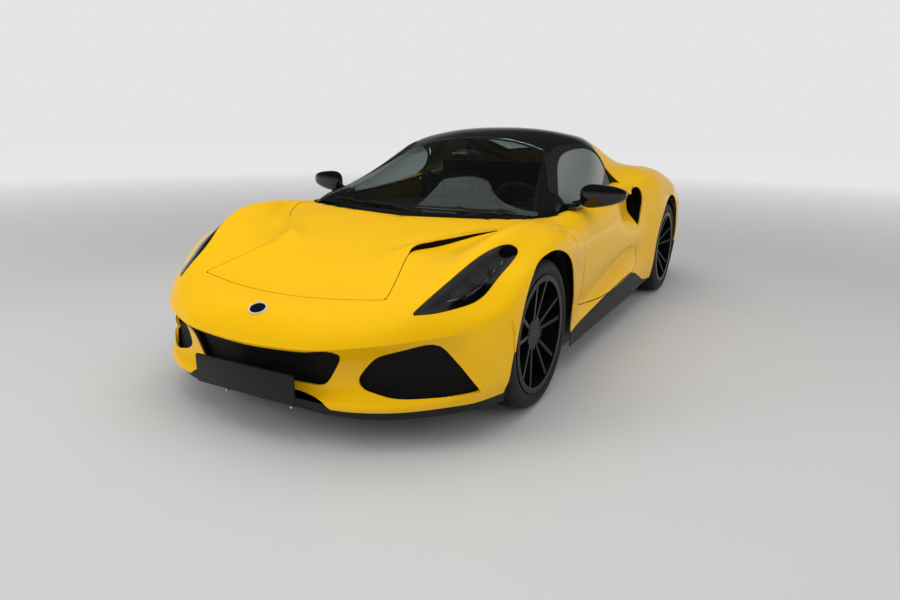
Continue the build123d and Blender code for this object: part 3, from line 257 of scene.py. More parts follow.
# ---------------------------------------------------------------- skins from station lines
# nose, bonnet, wings and doors, nose to rear arch, one row per station, centre to sill
FRONT_SKIN = [
    [(0,-.868,.397), (.25,-.857,.407), (.45,-.808,.427), (.56,-.75,.44), (.66,-.672,.451),
     (.77,-.567,.464), (.868,-.452,.478), (.93,-.345,.5), (.937,-.33,.42), (.938,-.32,.35),
     (.936,-.31,.29), (.93,-.3,.23), (.92,-.29,.175)],
    [(0,-.854,.43), (.25,-.844,.438), (.452,-.793,.457), (.563,-.733,.469), (.664,-.655,.48),
     (.775,-.548,.493), (.873,-.435,.505), (.932,-.328,.53), (.938,-.315,.43), (.939,-.3,.35),
     (.937,-.29,.29), (.93,-.28,.23), (.92,-.27,.175)],
    [(0,-.785,.507), (.25,-.772,.512), (.465,-.712,.523), (.58,-.655,.532), (.68,-.58,.547),
     (.778,-.472,.558), (.868,-.37,.573), (.935,-.288,.582), (.939,-.275,.45), (.94,-.26,.36),
     (.938,-.25,.29), (.93,-.24,.23), (.92,-.23,.175)],
    [(0,-.655,.55), (.25,-.645,.555), (.499,-.592,.573), (.6,-.54,.59), (.69,-.47,.615),
     (.775,-.39,.628), (.865,-.29,.64), (.936,-.215,.632), (.94,-.2,.48), (.94,-.19,.37),
     (.938,-.18,.29), (.93,-.17,.23), (.92,-.16,.175)],
    [(0,-.42,.622), (.24,-.415,.626), (.435,-.4,.635), (.54,-.38,.645), (.65,-.34,.68),
     (.745,-.27,.722), (.855,-.175,.7), (.937,-.11,.662), (.94,-.1,.5), (.94,-.09,.38), (.938,-.08,.29),
     (.93,-.07,.23), (.92,-.06,.175)],
    [(0,-.245,.668), (.22,-.243,.674), (.382,-.235,.686), (.49,-.228,.682), (.62,-.195,.716),
     (.745,-.14,.784), (.855,-.06,.748), (.937,-.01,.69), (.94,0,.52), (.94,.01,.39), (.938,.01,.29),
     (.93,.02,.23), (.92,.02,.175)],
    [(0,-.11,.7), (.23,-.112,.704), (.42,-.12,.699), (.525,-.1,.704), (.635,-.06,.742),
     (.748,-.03,.806), (.855,.03,.77), (.937,.06,.704), (.94,.07,.53), (.94,.08,.4), (.938,.08,.29),
     (.93,.09,.23), (.92,.09,.175)],
    [(0,.03,.727), (.26,.03,.731), (.535,.025,.734), (.61,.035,.742), (.68,.055,.772), (.748,.08,.814),
     (.855,.12,.78), (.937,.15,.708), (.94,.16,.53), (.94,.17,.4), (.938,.17,.29), (.93,.17,.22),
     (.92,.17,.16)],
    [(0,.174,.751), (.29,.174,.754), (.648,.17,.765), (.69,.178,.772), (.72,.19,.79), (.752,.2,.812),
     (.855,.22,.781), (.936,.24,.706), (.938,.25,.54), (.936,.26,.41), (.932,.26,.3), (.925,.26,.22),
     (.915,.26,.15)],
    [(0,.32,.771), (.28,.325,.773), (.6,.335,.78), (.66,.335,.784), (.71,.335,.792), (.757,.34,.8),
     (.855,.355,.768), (.93,.37,.69), (.932,.37,.54), (.928,.37,.41), (.922,.37,.3), (.915,.37,.225),
     (.91,.37,.15)],
    [(0,.47,.785), (.28,.47,.785), (.58,.47,.787), (.66,.47,.789), (.72,.47,.791), (.775,.47,.79),
     (.855,.475,.752), (.916,.48,.67), (.92,.48,.54), (.914,.48,.41), (.905,.48,.3), (.905,.48,.225),
     (.905,.48,.145)],
    [(0,.7,.79), (.28,.7,.79), (.58,.7,.792), (.66,.7,.794), (.725,.7,.797), (.785,.7,.797),
     (.857,.7,.75), (.9,.7,.66), (.908,.7,.54), (.898,.7,.42), (.878,.7,.305), (.9,.7,.245),
     (.902,.7,.145)],
    [(0,1.05,.8), (.28,1.05,.8), (.58,1.05,.803), (.66,1.05,.806), (.725,1.05,.812), (.786,1.05,.814),
     (.852,1.05,.762), (.888,1.05,.665), (.9,1.05,.55), (.888,1.05,.44), (.86,1.05,.345),
     (.9,1.05,.275), (.9,1.05,.145)],
    [(0,1.4,.825), (.28,1.4,.825), (.58,1.4,.828), (.66,1.4,.834), (.725,1.4,.842), (.785,1.4,.84),
     (.842,1.4,.785), (.874,1.4,.68), (.893,1.4,.565), (.882,1.4,.47), (.85,1.4,.395), (.902,1.4,.295),
     (.9,1.4,.145)],
    [(0,1.7,.86), (.28,1.7,.86), (.58,1.7,.865), (.66,1.7,.872), (.725,1.7,.882), (.782,1.7,.88),
     (.838,1.7,.815), (.868,1.7,.69), (.89,1.7,.575), (.892,1.7,.49), (.868,1.7,.425), (.906,1.7,.31),
     (.902,1.7,.15)],
    [(0,1.95,.89), (.28,1.95,.89), (.58,1.95,.897), (.65,1.95,.905), (.715,1.95,.918), (.772,1.95,.922),
     (.858,1.95,.856), (.888,1.95,.7), (.898,1.95,.59), (.906,1.95,.48), (.906,1.95,.38),
     (.912,1.95,.28), (.9,1.95,.16)],
    [(0,2.2,.915), (.28,2.2,.915), (.56,2.2,.925), (.63,2.2,.935), (.7,2.2,.944), (.768,2.2,.944),
     (.893,2.2,.868), (.942,2.2,.71), (.944,2.2,.58), (.942,2.2,.46), (.938,2.2,.36), (.93,2.2,.27),
     (.915,2.2,.18)],
]
# roof end, sails, haunches and tail deck, the same stations and lines
REAR_SKIN = [
    [(0,1.05,1.115), (.25,1.05,1.105), (.45,1.05,1.07), (.56,1.05,1.035), (.715,1.05,.88),
     (.786,1.05,.814), (.852,1.05,.762), (.888,1.05,.665), (.9,1.05,.55), (.888,1.05,.44),
     (.86,1.05,.345), (.9,1.05,.275), (.9,1.05,.145)],
    [(0,1.4,1.209), (.25,1.4,1.199), (.44,1.4,1.17), (.54,1.4,1.144), (.700,1.4,.935), (.785,1.4,.84),
     (.842,1.4,.785), (.874,1.4,.68), (.893,1.4,.565), (.882,1.4,.47), (.85,1.4,.395), (.902,1.4,.295),
     (.9,1.4,.145)],
    [(0,1.7,1.218), (.25,1.7,1.207), (.42,1.7,1.18), (.53,1.7,1.143), (.685,1.7,.968), (.782,1.7,.88),
     (.838,1.7,.815), (.868,1.7,.69), (.89,1.7,.575), (.892,1.7,.49), (.868,1.7,.425), (.906,1.7,.31),
     (.902,1.7,.15)],
    [(0,1.95,1.187), (.24,1.95,1.177), (.41,1.95,1.148), (.51,1.95,1.11), (.658,1.95,.985),
     (.768,1.95,.922), (.858,1.95,.856), (.888,1.95,.7), (.898,1.95,.59), (.906,1.95,.48),
     (.906,1.95,.38), (.912,1.95,.28), (.9,1.95,.16)],
    [(0,2.2,1.136), (.225,2.2,1.126), (.39,2.2,1.098), (.485,2.2,1.063), (.615,2.2,.986),
     (.752,2.2,.948), (.893,2.2,.868), (.942,2.2,.71), (.944,2.2,.58), (.942,2.2,.46), (.938,2.2,.36),
     (.93,2.2,.27), (.915,2.2,.18)],
    [(0,2.45,1.072), (.215,2.45,1.063), (.375,2.45,1.038), (.47,2.45,1.006), (.605,2.45,.96),
     (.745,2.45,.945), (.893,2.45,.86), (.9465,2.45,.71), (.947,2.45,.58), (.945,2.45,.46),
     (.94,2.45,.36), (.93,2.45,.28), (.915,2.45,.2)],
    [(0,2.65,1.022), (.21,2.65,1.014), (.365,2.65,.993), (.46,2.65,.97), (.6,2.65,.943),
     (.742,2.65,.932), (.887,2.65,.843), (.946,2.65,.7), (.947,2.65,.57), (.945,2.65,.46),
     (.94,2.65,.37), (.93,2.65,.29), (.915,2.65,.22)],
    [(0,2.9,.972), (.205,2.9,.966), (.36,2.9,.95), (.455,2.9,.934), (.59,2.9,.915), (.728,2.9,.904),
     (.868,2.9,.81), (.93,2.9,.67), (.934,2.9,.56), (.934,2.9,.47), (.93,2.9,.39), (.922,2.9,.32),
     (.91,2.9,.25)],
    [(0,3.12,.94), (.2,3.12,.936), (.355,3.12,.924), (.45,3.12,.912), (.58,3.12,.896), (.705,3.12,.88),
     (.838,3.12,.782), (.903,3.12,.645), (.909,3.12,.55), (.911,3.12,.47), (.909,3.12,.4),
     (.903,3.12,.335), (.892,3.12,.27)],
    [(0,3.4,.922), (.2,3.395,.918), (.35,3.385,.907), (.44,3.375,.898), (.56,3.35,.884),
     (.675,3.315,.862), (.79,3.275,.752), (.862,3.24,.63), (.872,3.24,.545), (.877,3.24,.475),
     (.876,3.24,.41), (.87,3.24,.345), (.86,3.24,.28)],
]
# the face under the nose crease, crease to lip, centre to wheel arch
NOSE_FACE = [
    [(0,-.868,.397), (.25,-.857,.407), (.45,-.808,.427), (.56,-.75,.44), (.66,-.672,.451),
     (.77,-.567,.464), (.868,-.452,.478), (.93,-.345,.5)],
    [(0,-.85,.372), (.25,-.838,.384), (.45,-.788,.405), (.56,-.731,.418), (.66,-.656,.43),
     (.772,-.556,.445), (.87,-.455,.458), (.934,-.335,.47)],
    [(0,-.826,.345), (.25,-.812,.352), (.448,-.757,.368), (.555,-.702,.38), (.655,-.634,.392),
     (.772,-.546,.412), (.873,-.462,.428), (.938,-.315,.43)],
    [(0,-.805,.29), (.25,-.79,.295), (.447,-.738,.305), (.552,-.685,.315), (.652,-.621,.33),
     (.772,-.542,.35), (.875,-.47,.365), (.940,-.295,.36)],
    [(0,-.8,.24), (.25,-.785,.243), (.452,-.742,.25), (.556,-.695,.255), (.656,-.632,.26),
     (.775,-.552,.27), (.873,-.475,.285), (.938,-.29,.285)],
    [(0,-.815,.212), (.25,-.803,.212), (.47,-.768,.213), (.575,-.722,.213), (.675,-.655,.215),
     (.785,-.568,.22), (.868,-.478,.23), (.932,-.285,.23)],
    [(0,-.835,.198), (.25,-.826,.197), (.49,-.785,.196), (.59,-.735,.196), (.688,-.662,.197),
     (.788,-.565,.2), (.862,-.472,.205), (.925,-.28,.205)],
    [(0,-.833,.176), (.25,-.826,.175), (.495,-.785,.174), (.594,-.733,.174), (.69,-.658,.175),
     (.783,-.56,.177), (.855,-.465,.18), (.915,-.28,.18)],
]
# the face under the tail edge, edge to bumper foot, centre to corner
TAIL_FACE = [
    [(0,3.4,.922), (.2,3.395,.918), (.35,3.385,.907), (.44,3.375,.898), (.56,3.35,.884),
     (.675,3.315,.862)],
    [(0,3.385,.85), (.2,3.38,.848), (.36,3.37,.84), (.47,3.355,.83), (.61,3.325,.81), (.79,3.275,.752)],
    [(0,3.4,.77), (.22,3.395,.768), (.4,3.385,.76), (.54,3.365,.74), (.69,3.325,.7), (.862,3.24,.63)],
    [(0,3.45,.67), (.25,3.44,.668), (.45,3.425,.66), (.6,3.395,.64), (.74,3.34,.6), (.872,3.24,.545)],
    [(0,3.52,.56), (.27,3.51,.56), (.48,3.485,.55), (.63,3.445,.54), (.765,3.37,.51), (.877,3.24,.475)],
    [(0,3.54,.46), (.27,3.53,.46), (.49,3.505,.455), (.64,3.46,.45), (.77,3.38,.43), (.876,3.24,.41)],
    [(0,3.53,.37), (.27,3.52,.37), (.49,3.495,.37), (.64,3.45,.365), (.77,3.37,.36), (.87,3.24,.345)],
    [(0,3.49,.3), (.27,3.48,.3), (.48,3.455,.3), (.63,3.415,.295), (.76,3.34,.29), (.86,3.24,.28)],
]
# screen, roof and side glass, cowl to roof end, centre to belt
CABIN_SKIN = [
    [(0,.245,.735), (.3,.262,.735), (.56,.305,.735), (.64,.335,.735), (.69,.36,.735), (.72,.38,.72),
     (.74,.4,.7)],
    [(0,.36,.8), (.3,.378,.8), (.58,.425,.8), (.68,.465,.8), (.725,.49,.795), (.75,.51,.77),
     (.77,.53,.74)],
    [(0,.62,.928), (.28,.635,.922), (.53,.675,.9), (.635,.705,.882), (.685,.72,.868), (.735,.73,.82),
     (.79,.74,.76)],
    [(0,.9,1.055), (.26,.915,1.045), (.48,.945,1.012), (.585,.97,.985), (.635,.985,.965),
     (.72,.99,.885), (.79,.99,.79)],
    [(0,1.17,1.16), (.25,1.18,1.148), (.44,1.2,1.118), (.545,1.215,1.095), (.6,1.225,1.072),
     (.7,1.23,.955), (.765,1.23,.81)],
    [(0,1.42,1.213), (.25,1.42,1.203), (.44,1.42,1.175), (.54,1.42,1.148), (.6,1.42,1.112),
     (.69,1.42,.985), (.745,1.42,.84)],
    [(0,1.62,1.225), (.25,1.62,1.214), (.43,1.62,1.186), (.535,1.62,1.155), (.6,1.62,1.11),
     (.675,1.62,.985), (.725,1.62,.86)],
    [(0,1.85,1.208), (.24,1.85,1.197), (.42,1.85,1.168), (.525,1.85,1.132), (.585,1.85,1.07),
     (.655,1.85,.98), (.72,1.85,.88)],
]


def spline(points, at, wanted):
    """Natural cubic through the points along their first axis."""
    count, gaps = len(at), np.diff(at)
    shape = points.shape[1:]
    points = points.reshape(count, -1)
    system, right = np.eye(count), np.zeros_like(points)
    for i in range(1, count - 1):
        system[i, i - 1:i + 2] = gaps[i - 1], 2 * (gaps[i - 1] + gaps[i]), gaps[i]
        right[i] = 6 * ((points[i + 1] - points[i]) / gaps[i] - (points[i] - points[i - 1]) / gaps[i - 1])
    bend = np.linalg.solve(system, right)
    low = np.clip(np.searchsorted(at, wanted) - 1, 0, count - 2)
    width = gaps[low][:, None]
    before = (at[low + 1] - wanted)[:, None] / width
    after = 1 - before
    value = (before * points[low] + after * points[low + 1]
             + ((before**3 - before) * bend[low] + (after**3 - after) * bend[low + 1]) * width**2 / 6)
    return value.reshape((len(wanted),) + shape)


def spans(points):
    """Mean chord length up to each line of the net."""
    return np.concatenate([[0], np.cumsum(np.linalg.norm(np.diff(points, axis=0), axis=-1).mean(axis=1))])


class Skin:
    """A smooth sheet through the station lines of one side and their mirror image."""

    def __init__(self, half, cell):
        half = np.array(half, float)
        net = np.concatenate([half[:, :0:-1] * (-1, 1, 1), half], axis=1)
        self.along, across = spans(net), spans(net.transpose(1, 0, 2))
        self.across = across - across[-1] / 2
        rows = int(self.along[-1] / cell) + 1
        half_count = int(self.across[-1] / cell) + 1
        self.at = np.linspace(-self.across[-1], self.across[-1], 2 * half_count + 1)
        lines = spline(net, self.along, np.linspace(0, self.along[-1], rows))
        grid = spline(lines.transpose(1, 0, 2), self.across, self.at)
        self.grid = grid.transpose(1, 0, 2)

    def mesh(self):
        rows, columns = self.grid.shape[:2]
        index = np.arange(rows * columns).reshape(rows, columns)
        a, b, c, d = index[:-1, :-1], index[:-1, 1:], index[1:, 1:], index[1:, :-1]
        faces = np.concatenate([np.stack([a, b, c], -1).reshape(-1, 3),
                                np.stack([a, c, d], -1).reshape(-1, 3)])
        return self.grid.reshape(-1, 3).copy(), faces


def tidy(points, faces):
    """The mesh without the points that no face uses."""
    used, back = np.unique(faces, return_inverse=True)
    return points[used], back.reshape(-1, 3)


def cut(mesh, field):
    """The part of the mesh where the field is below nought, cut along its nought line."""
    points, faces = mesh
    if not len(faces):
        return mesh
    depth = field(points)
    depth = np.where(np.abs(depth) < 2e-5, 2e-5, depth)
    inside = depth[faces] < 0
    count = inside.sum(axis=1)
    pieces, pairs = [faces[count == 3]], []

    def turned(rows, first):
        start = np.argmax(first, axis=1)[:, None]
        return np.take_along_axis(rows, (start + np.arange(3)) % 3, axis=1)

    one = turned(faces[count == 1], inside[count == 1])
    two = turned(faces[count == 2], ~inside[count == 2])
    for rows in (one, two):
        pairs += [np.sort(rows[:, [0, 1]], axis=1), np.sort(rows[:, [0, 2]], axis=1)]
    edges, place = np.unique(np.concatenate(pairs), axis=0, return_inverse=True)
    place = place.reshape(-1)
    share = (depth[edges[:, 0]] / (depth[edges[:, 0]] - depth[edges[:, 1]]))[:, None]
    fresh = points[edges[:, 0]] * (1 - share) + points[edges[:, 1]] * share
    place = place + len(points)
    n = len(one)
    one_b, one_c = place[:n], place[n:2 * n]
    m = len(two)
    two_b, two_c = place[2 * n:2 * n + m], place[2 * n + m:]
    pieces.append(np.stack([one[:, 0], one_b, one_c], axis=1))
    pieces.append(np.stack([two[:, 1], two[:, 2], two_c], axis=1))
    pieces.append(np.stack([two[:, 1], two_c, two_b], axis=1))
    return tidy(np.concatenate([points, fresh]), np.concatenate(pieces))


def rounded(points, corners=(), steps=8):
    """A closed outline through the points: curved, but sharp at the named corners."""
    points = np.array(points, float)
    count = len(points)
    if not corners:
        ring = np.concatenate([points[-3:], points, points[:4]])
        at = np.concatenate([[0], np.cumsum(np.linalg.norm(np.diff(ring, axis=0), axis=1) ** 0.5)])
        wanted = np.concatenate([np.linspace(at[i], at[i + 1], steps, endpoint=False)
                                 for i in range(3, 3 + count)])
        return spline(ring, at, wanted)
    corners, runs = sorted(corners), []
    for start, end in zip(corners, corners[1:] + [corners[0] + count]):
        run = points[[i % count for i in range(start, end + 1)]]
        at = np.concatenate([[0], np.cumsum(np.linalg.norm(np.diff(run, axis=0), axis=1) ** 0.5)])
        runs.append(spline(run, at, np.linspace(0, at[-1], steps * (end - start), endpoint=False))
                    if len(run) > 2 else run[:1])
    return np.concatenate(runs)


def within(outline, axes, half=True):
    """Distance to a closed outline seen along one axis: below nought inside it."""
    ring = np.array(outline, float)
    nxt = np.roll(ring, -1, axis=0)
    run = nxt - ring
    length = np.maximum((run**2).sum(axis=1), 1e-12)

    def field(points):
        flat = points[:, axes].copy()
        if half and 0 in axes:
            flat[:, list(axes).index(0)] = np.abs(flat[:, list(axes).index(0)])
        result = np.empty(len(flat))
        for low in range(0, len(flat), 8000):
            part = flat[low:low + 8000]
            away = part[:, None] - ring[None]
            share = np.clip((away * run).sum(-1) / length, 0, 1)
            near = np.sqrt(((away - share[..., None] * run) ** 2).sum(-1).min(axis=1))
            over = (ring[None, :, 1] > part[:, None, 1]) != (nxt[None, :, 1] > part[:, None, 1])
            rise = np.where(np.abs(run[:, 1]) < 1e-12, 1e-12, run[:, 1])
            cross = ring[None, :, 0] + (part[:, None, 1] - ring[None, :, 1]) * run[None, :, 0] / rise
            odd = (over & (part[:, None, 0] < cross)).sum(axis=1) % 2
            result[low:low + 8000] = np.where(odd, -near, near)
        return result
    return field


def line(points, axes):
    """Height above a bent line, such as a belt: the second axis less the line's value."""
    points = np.array(sorted(points), float)

    def field(place):
        along = np.abs(place[:, axes[0]]) if axes[0] == 0 else place[:, axes[0]]
        value = np.abs(place[:, axes[1]]) if axes[1] == 0 else place[:, axes[1]]
        return value - np.interp(along, points[:, 0], points[:, 1])
    return field


def every(*fields):
    """Where all the fields are below nought."""
    return lambda points: np.max([field(points) for field in fields], axis=0)


def grown(field, amount):
    """The same region, larger by an amount."""
    return lambda points: field(points) - amount


def outside(field, gap=0.0):
    """The rest of the sheet, a gap away from the region."""
    return lambda points: gap - field(points)


def beyond(axis, value):
    """Where a coordinate is above a value; its size counts for the width."""
    return lambda points: value - (np.abs(points[:, 0]) if axis == 0 else points[:, axis])


def short_of(axis, value):
    """Where a coordinate is below a value; its size counts for the width."""
    return lambda points: (np.abs(points[:, 0]) if axis == 0 else points[:, axis]) - value


def side(sign):
    """One side of the car."""
    return lambda points: -sign * points[:, 0]


def normals(mesh):
    """The outward direction at each point."""
    points, faces = mesh
    corner = points[faces]
    face = np.cross(corner[:, 1] - corner[:, 0], corner[:, 2] - corner[:, 0])
    total = np.zeros_like(points)
    for k in range(3):
        np.add.at(total, faces[:, k], face)
    return total / np.maximum(np.linalg.norm(total, axis=1, keepdims=True), 1e-12)


def moved_in(mesh, depth):
    """The same sheet further in, by a depth along its own normals."""
    return mesh[0] - normals(mesh) * (depth[:, None] if isinstance(depth, np.ndarray) else depth), mesh[1]


def rim(mesh, inner):
    """The wall from the edge of a sheet to the edge of the sheet below it, facing inwards."""
    points, faces = mesh
    edges = np.concatenate([faces[:, [0, 1]], faces[:, [1, 2]], faces[:, [2, 0]]])
    _, place, count = np.unique(np.sort(edges, axis=1), axis=0, return_index=True, return_counts=True)
    edges = edges[place[count == 1]]
    low = edges + len(points)
    wall = np.concatenate([np.stack([edges[:, 0], edges[:, 1], low[:, 1]], 1),
                           np.stack([edges[:, 0], low[:, 1], low[:, 0]], 1)])
    return tidy(np.concatenate([points, inner[0]]), wall)


def joined(*meshes):
    """Several sheets as one mesh."""
    points, faces, count = [], [], 0
    for mesh in meshes:
        points.append(mesh[0])
        faces.append(mesh[1] + count)
        count += len(mesh[0])
    return np.concatenate(points), np.concatenate(faces)


def deselect():
    bpy.ops.object.select_all(action="DESELECT")


def only(piece):
    deselect()
    piece.select_set(True)
    bpy.context.view_layer.objects.active = piece


def modified(piece, kind, **settings):
    """Adds a modifier and applies it."""
    modifier = piece.modifiers.new(kind.title(), kind)
    for key, value in settings.items():
        setattr(modifier, key, value)
    only(piece)
    bpy.ops.object.modifier_apply(modifier=modifier.name)


def united(name, *pieces):
    """Joins pieces into the first and names it."""
    deselect()
    for piece in pieces:
        piece.select_set(True)
    bpy.context.view_layer.objects.active = pieces[0]
    bpy.ops.object.join()
    pieces[0].name = name
    return pieces[0]


def face_outwards(piece):
    only(piece)
    bpy.ops.object.mode_set(mode="EDIT")
    bpy.ops.mesh.select_all(action="SELECT")
    bpy.ops.mesh.normals_make_consistent(inside=False)
    bpy.ops.object.mode_set(mode="OBJECT")


def sheet_piece(name, mesh, material, body, thick=PANEL, slot=None, nodes=(), angle=32.0):
    """A panel from a sheet: welded, thickened inwards, shaded smooth, riding on its body."""
    points, faces = mesh
    place = points.copy()
    place[:, 1] += AXLE
    data = bpy.data.meshes.new(name)
    data.from_pydata(place.tolist(), [], faces.tolist())
    data.update()
    piece = bpy.data.objects.new(name, data)
    bpy.context.collection.objects.link(piece)
    modified(piece, "WELD", merge_threshold=SHEET_WELD)
    if thick:
        modified(piece, "SOLIDIFY", thickness=thick, offset=-1.0, use_even_offset=False)
    done(piece, material, body, slot, nodes, angle)


def done(piece, material, body, slot=None, nodes=(), angle=32.0):
    """Gives a piece its finish, its body and the nodes that it stands for; its slot is not used."""
    piece.data.materials.clear()
    piece.data.materials.append(material)
    only(piece)
    if angle:
        bpy.ops.object.shade_smooth_by_angle(angle=math.radians(angle))
    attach(piece, body)
    if nodes:
        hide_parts(*nodes)


# ---------------------------------------------------------------- outlines of the openings
def both_sides(half):
    """The points of one side and their mirror image; the first and last lie on the middle."""
    return half + [(-x, z) for x, z in half[-2:0:-1]]


bonnet_edge = rounded(both_sides([(0, -.655), (.25, -.640), (.499, -.592), (.435, -.40), (.381, -.24),
                                  (.376, -.185), (.395, -.149), (.425, -.113), (.49, -.035), (.558, .05),
                                  (.623, .128), (.66, .18), (.70, .27), (.715, .34), (.69, .385),
                                  (.40, .325), (0, .275)]),
                      corners=(2, 14, 18, 30))
lamp_edge = rounded([(.632, -.623), (.660, -.526), (.689, -.42), (.725, -.32), (.767, -.223), (.800, -.155),
                     (.829, -.119), (.846, -.119), (.852, -.150), (.850, -.225), (.838, -.320), (.823, -.386),
                     (.793, -.447), (.743, -.517), (.690, -.578)], corners=(0,))
front_arch = rounded([(-.31, -.2), (-.345, .10), (-.338, .217), (-.328, .326), (-.295, .441),
                      (-.262, .536), (-.203, .617), (-.101, .678), (.036, .707), (.164, .694),
                      (.300, .628), (.395, .52), (.443, .40), (.457, .24), (.462, .10), (.44, -.2)],
                     corners=(0, 15))
arch_round = [(REAR_AXLE + .392 * math.cos(turn), .350 + .392 * math.sin(turn))
              for turn in np.radians(np.arange(-8, 189, 6))]
rear_arch = [(REAR_AXLE - .40, -.2)] + arch_round[::-1] + [(REAR_AXLE + .40, -.2)]
door_edge = rounded([(.625, .33), (1.75, .33), (1.812, .42), (1.8165, .60), (1.8165, 1.2), (.607, 1.2),
                     (.607, .60), (.609, .38)], corners=(3, 4, 5))
glass_edge = rounded([(.765, .80), (.765, .884), (.90, .952), (1.05, 1.035), (1.20, 1.098), (1.33, 1.118),
                      (1.47, 1.113), (1.58, 1.085), (1.655, 1.035), (1.685, .96), (1.69, .80)],
                     corners=(0, 1, 10))
screen_edge = rounded(both_sides([(0, .345), (.40, .383), (.70, .463), (.598, .76), (.535, .985),
                                  (.495, 1.105), (.455, 1.150), (.25, 1.185), (0, 1.193)]),
                      corners=(2, 6, 10, 14))
lid_edge = rounded(both_sides([(0, 1.853), (.452, 1.853), (.47, 2.28), (.44, 2.90), (.41, 3.30),
                               (0, 3.325)]),
                   corners=(1, 4, 6, 9))
rear_glass_edge = rounded(both_sides([(0, 1.91), (.395, 1.91), (.370, 2.44), (0, 2.462)]),
                          corners=(1, 2, 4, 5))
scoop_edge = rounded([(1.78, .600), (1.78, .838), (1.84, .848), (1.895, .840), (1.925, .800), (1.922, .740),
                      (1.892, .670), (1.848, .610)], corners=(0, 1))
corner_mouth = rounded([(.462, .278), (.488, .329), (.529, .374), (.567, .394), (.644, .418), (.712, .433),
                        (.737, .421), (.763, .383), (.811, .320), (.859, .252), (.868, .226), (.778, .222),
                        (.69, .219), (.598, .222), (.530, .236), (.480, .252)], corners=(10,))
centre_mouth = rounded(both_sides([(0, .386), (.20, .392), (.30, .400), (.385, .412), (.418, .399),
                                   (.412, .372), (.382, .323), (.342, .263), (.318, .250), (.27, .246),
                                   (0, .246)]))
foot_line = line([(0, .223), (.25, .214), (.311, .208), (.351, .199), (.381, .178), (.41, .160),
                  (.9, .150)], (0, 2))
lamp_band = rounded([(.44, .790), (.66, .782), (.80, .752), (.845, .715), (.842, .665), (.806, .628),
                     (.700, .622), (.706, .640), (.778, .650), (.792, .690), (.762, .722), (.60, .744),
                     (.44, .750)], corners=(0, 6, 7, 12))
tail_vent = rounded([(-.30, .475), (.30, .475), (.36, .40), (-.36, .40)], corners=(0, 1, 2, 3))
corner_outlet = rounded([(.52, .40), (.74, .40), (.80, .49), (.77, .53), (.60, .455)])

in_bonnet = within(bonnet_edge, [0, 1], half=False)
in_lamp = every(within(lamp_edge, [0, 1]), beyond(2, .4))
in_front_arch = every(within(front_arch, [1, 2]), beyond(0, .5))
in_rear_arch = every(within(rear_arch, [1, 2]), beyond(0, .5))
belt = line([(.50, .745), (.60, .745), (.80, .762), (1.05, .768), (1.23, .765), (1.42, .745), (1.62, .722),
             (1.82, .712), (2.2, .70)], (1, 0))
in_door = every(within(door_edge, [1, 2]), outside(belt), beyond(0, .6))
in_screen = within(screen_edge, [0, 1], half=False)
in_glass = every(within(glass_edge, [1, 2]), beyond(0, .5))
in_lid = within(lid_edge, [0, 1], half=False)
in_rear_glass = within(rear_glass_edge, [0, 1], half=False)
in_scoop = every(within(scoop_edge, [1, 2]), beyond(0, .7))
in_corner = within(corner_mouth, [0, 2])
in_centre = within(centre_mouth, [0, 2], half=False)
in_tail_lamp = every(within(lamp_band, [0, 2]), beyond(1, TAIL_CORNER))
in_tail_vent = within(tail_vent, [0, 2], half=False)
in_tail_outlet = within(corner_outlet, [0, 2])
cowl = line([(0, .293), (.40, .343), (.69, .403), (.745, .47), (.775, .62), (1.0, .75)], (0, 1))
sill_line = line([(.30, .222), (.48, .225), (.70, .247), (1.05, .277), (1.40, .300), (1.63, .316),
                  (1.75, .288), (1.90, .231), (1.99, .198), (2.15, .180)], (1, 2))

front_skin = Skin(FRONT_SKIN, CELL)
rear_skin = Skin(REAR_SKIN, CELL)
cabin_skin = Skin(CABIN_SKIN, CELL)


def face_below(face, skin, lines):
    """The sheet under a skin's end row: it keeps the skin's own points along that shared edge."""
    face = np.array(face, float)
    net = np.concatenate([face[:, :0:-1] * (-1, 1, 1), face], axis=1)
    down = spans(net)
    reach = face.shape[1] - 1
    middle = (skin.across.size - 1) // 2
    at = skin.across[middle - reach:middle + reach + 1]
    shared = (skin.at >= at[0] - 1e-9) & (skin.at <= at[-1] + 1e-9)
    rows = spline(net, down, np.linspace(0, down[-1], lines))
    grid = spline(rows.transpose(1, 0, 2), at, skin.at[shared]).transpose(1, 0, 2)
    fade = (1 - np.linspace(0, 1, lines))[:, None, None] ** 2
    return grid + fade * (skin.grid[0][shared] - grid[0])[None]


nose_grid = face_below(NOSE_FACE, front_skin, 34)


def grid_mesh(grid):
    """The mesh of a grid of points."""
    shell = Skin.__new__(Skin)
    shell.grid = grid
    return shell.mesh()


def tail_grid(rows, columns):
    """The tail face, its corners carried on from the rear skin's last row."""
    face = np.array(TAIL_FACE, float)
    net = np.concatenate([face[:, :0:-1] * (-1, 1, 1), face], axis=1)
    down, across = spans(net), spans(net.transpose(1, 0, 2))
    lines = spline(net, down, np.linspace(0, down[-1], rows))
    return spline(lines.transpose(1, 0, 2), across, np.linspace(0, across[-1], columns)).transpose(1, 0, 2)


def hollowed(mesh):
    """The door's rear skin dips towards the scoop behind it."""
    points, faces = mesh
    step = np.clip((points[:, 1] - DIP_START) / DIP_RUN, 0, 1)
    low, high = np.clip((points[:, 2] - .580) / .130, 0, 1), np.clip((.866 - points[:, 2]) / .105, 0, 1)
    shape = [share * share * (3 - 2 * share) for share in (low, high)]
    depth = DIP_DEPTH * step ** 1.3 * shape[0] * shape[1] * (points[:, 1] < 1.8175)
    points[:, 0] -= np.sign(points[:, 0]) * depth * (np.abs(points[:, 0]) > .78)
    return points, faces


def turned_over(mesh):
    """The sheet facing the other way."""
    return mesh[0], mesh[1][:, ::-1]


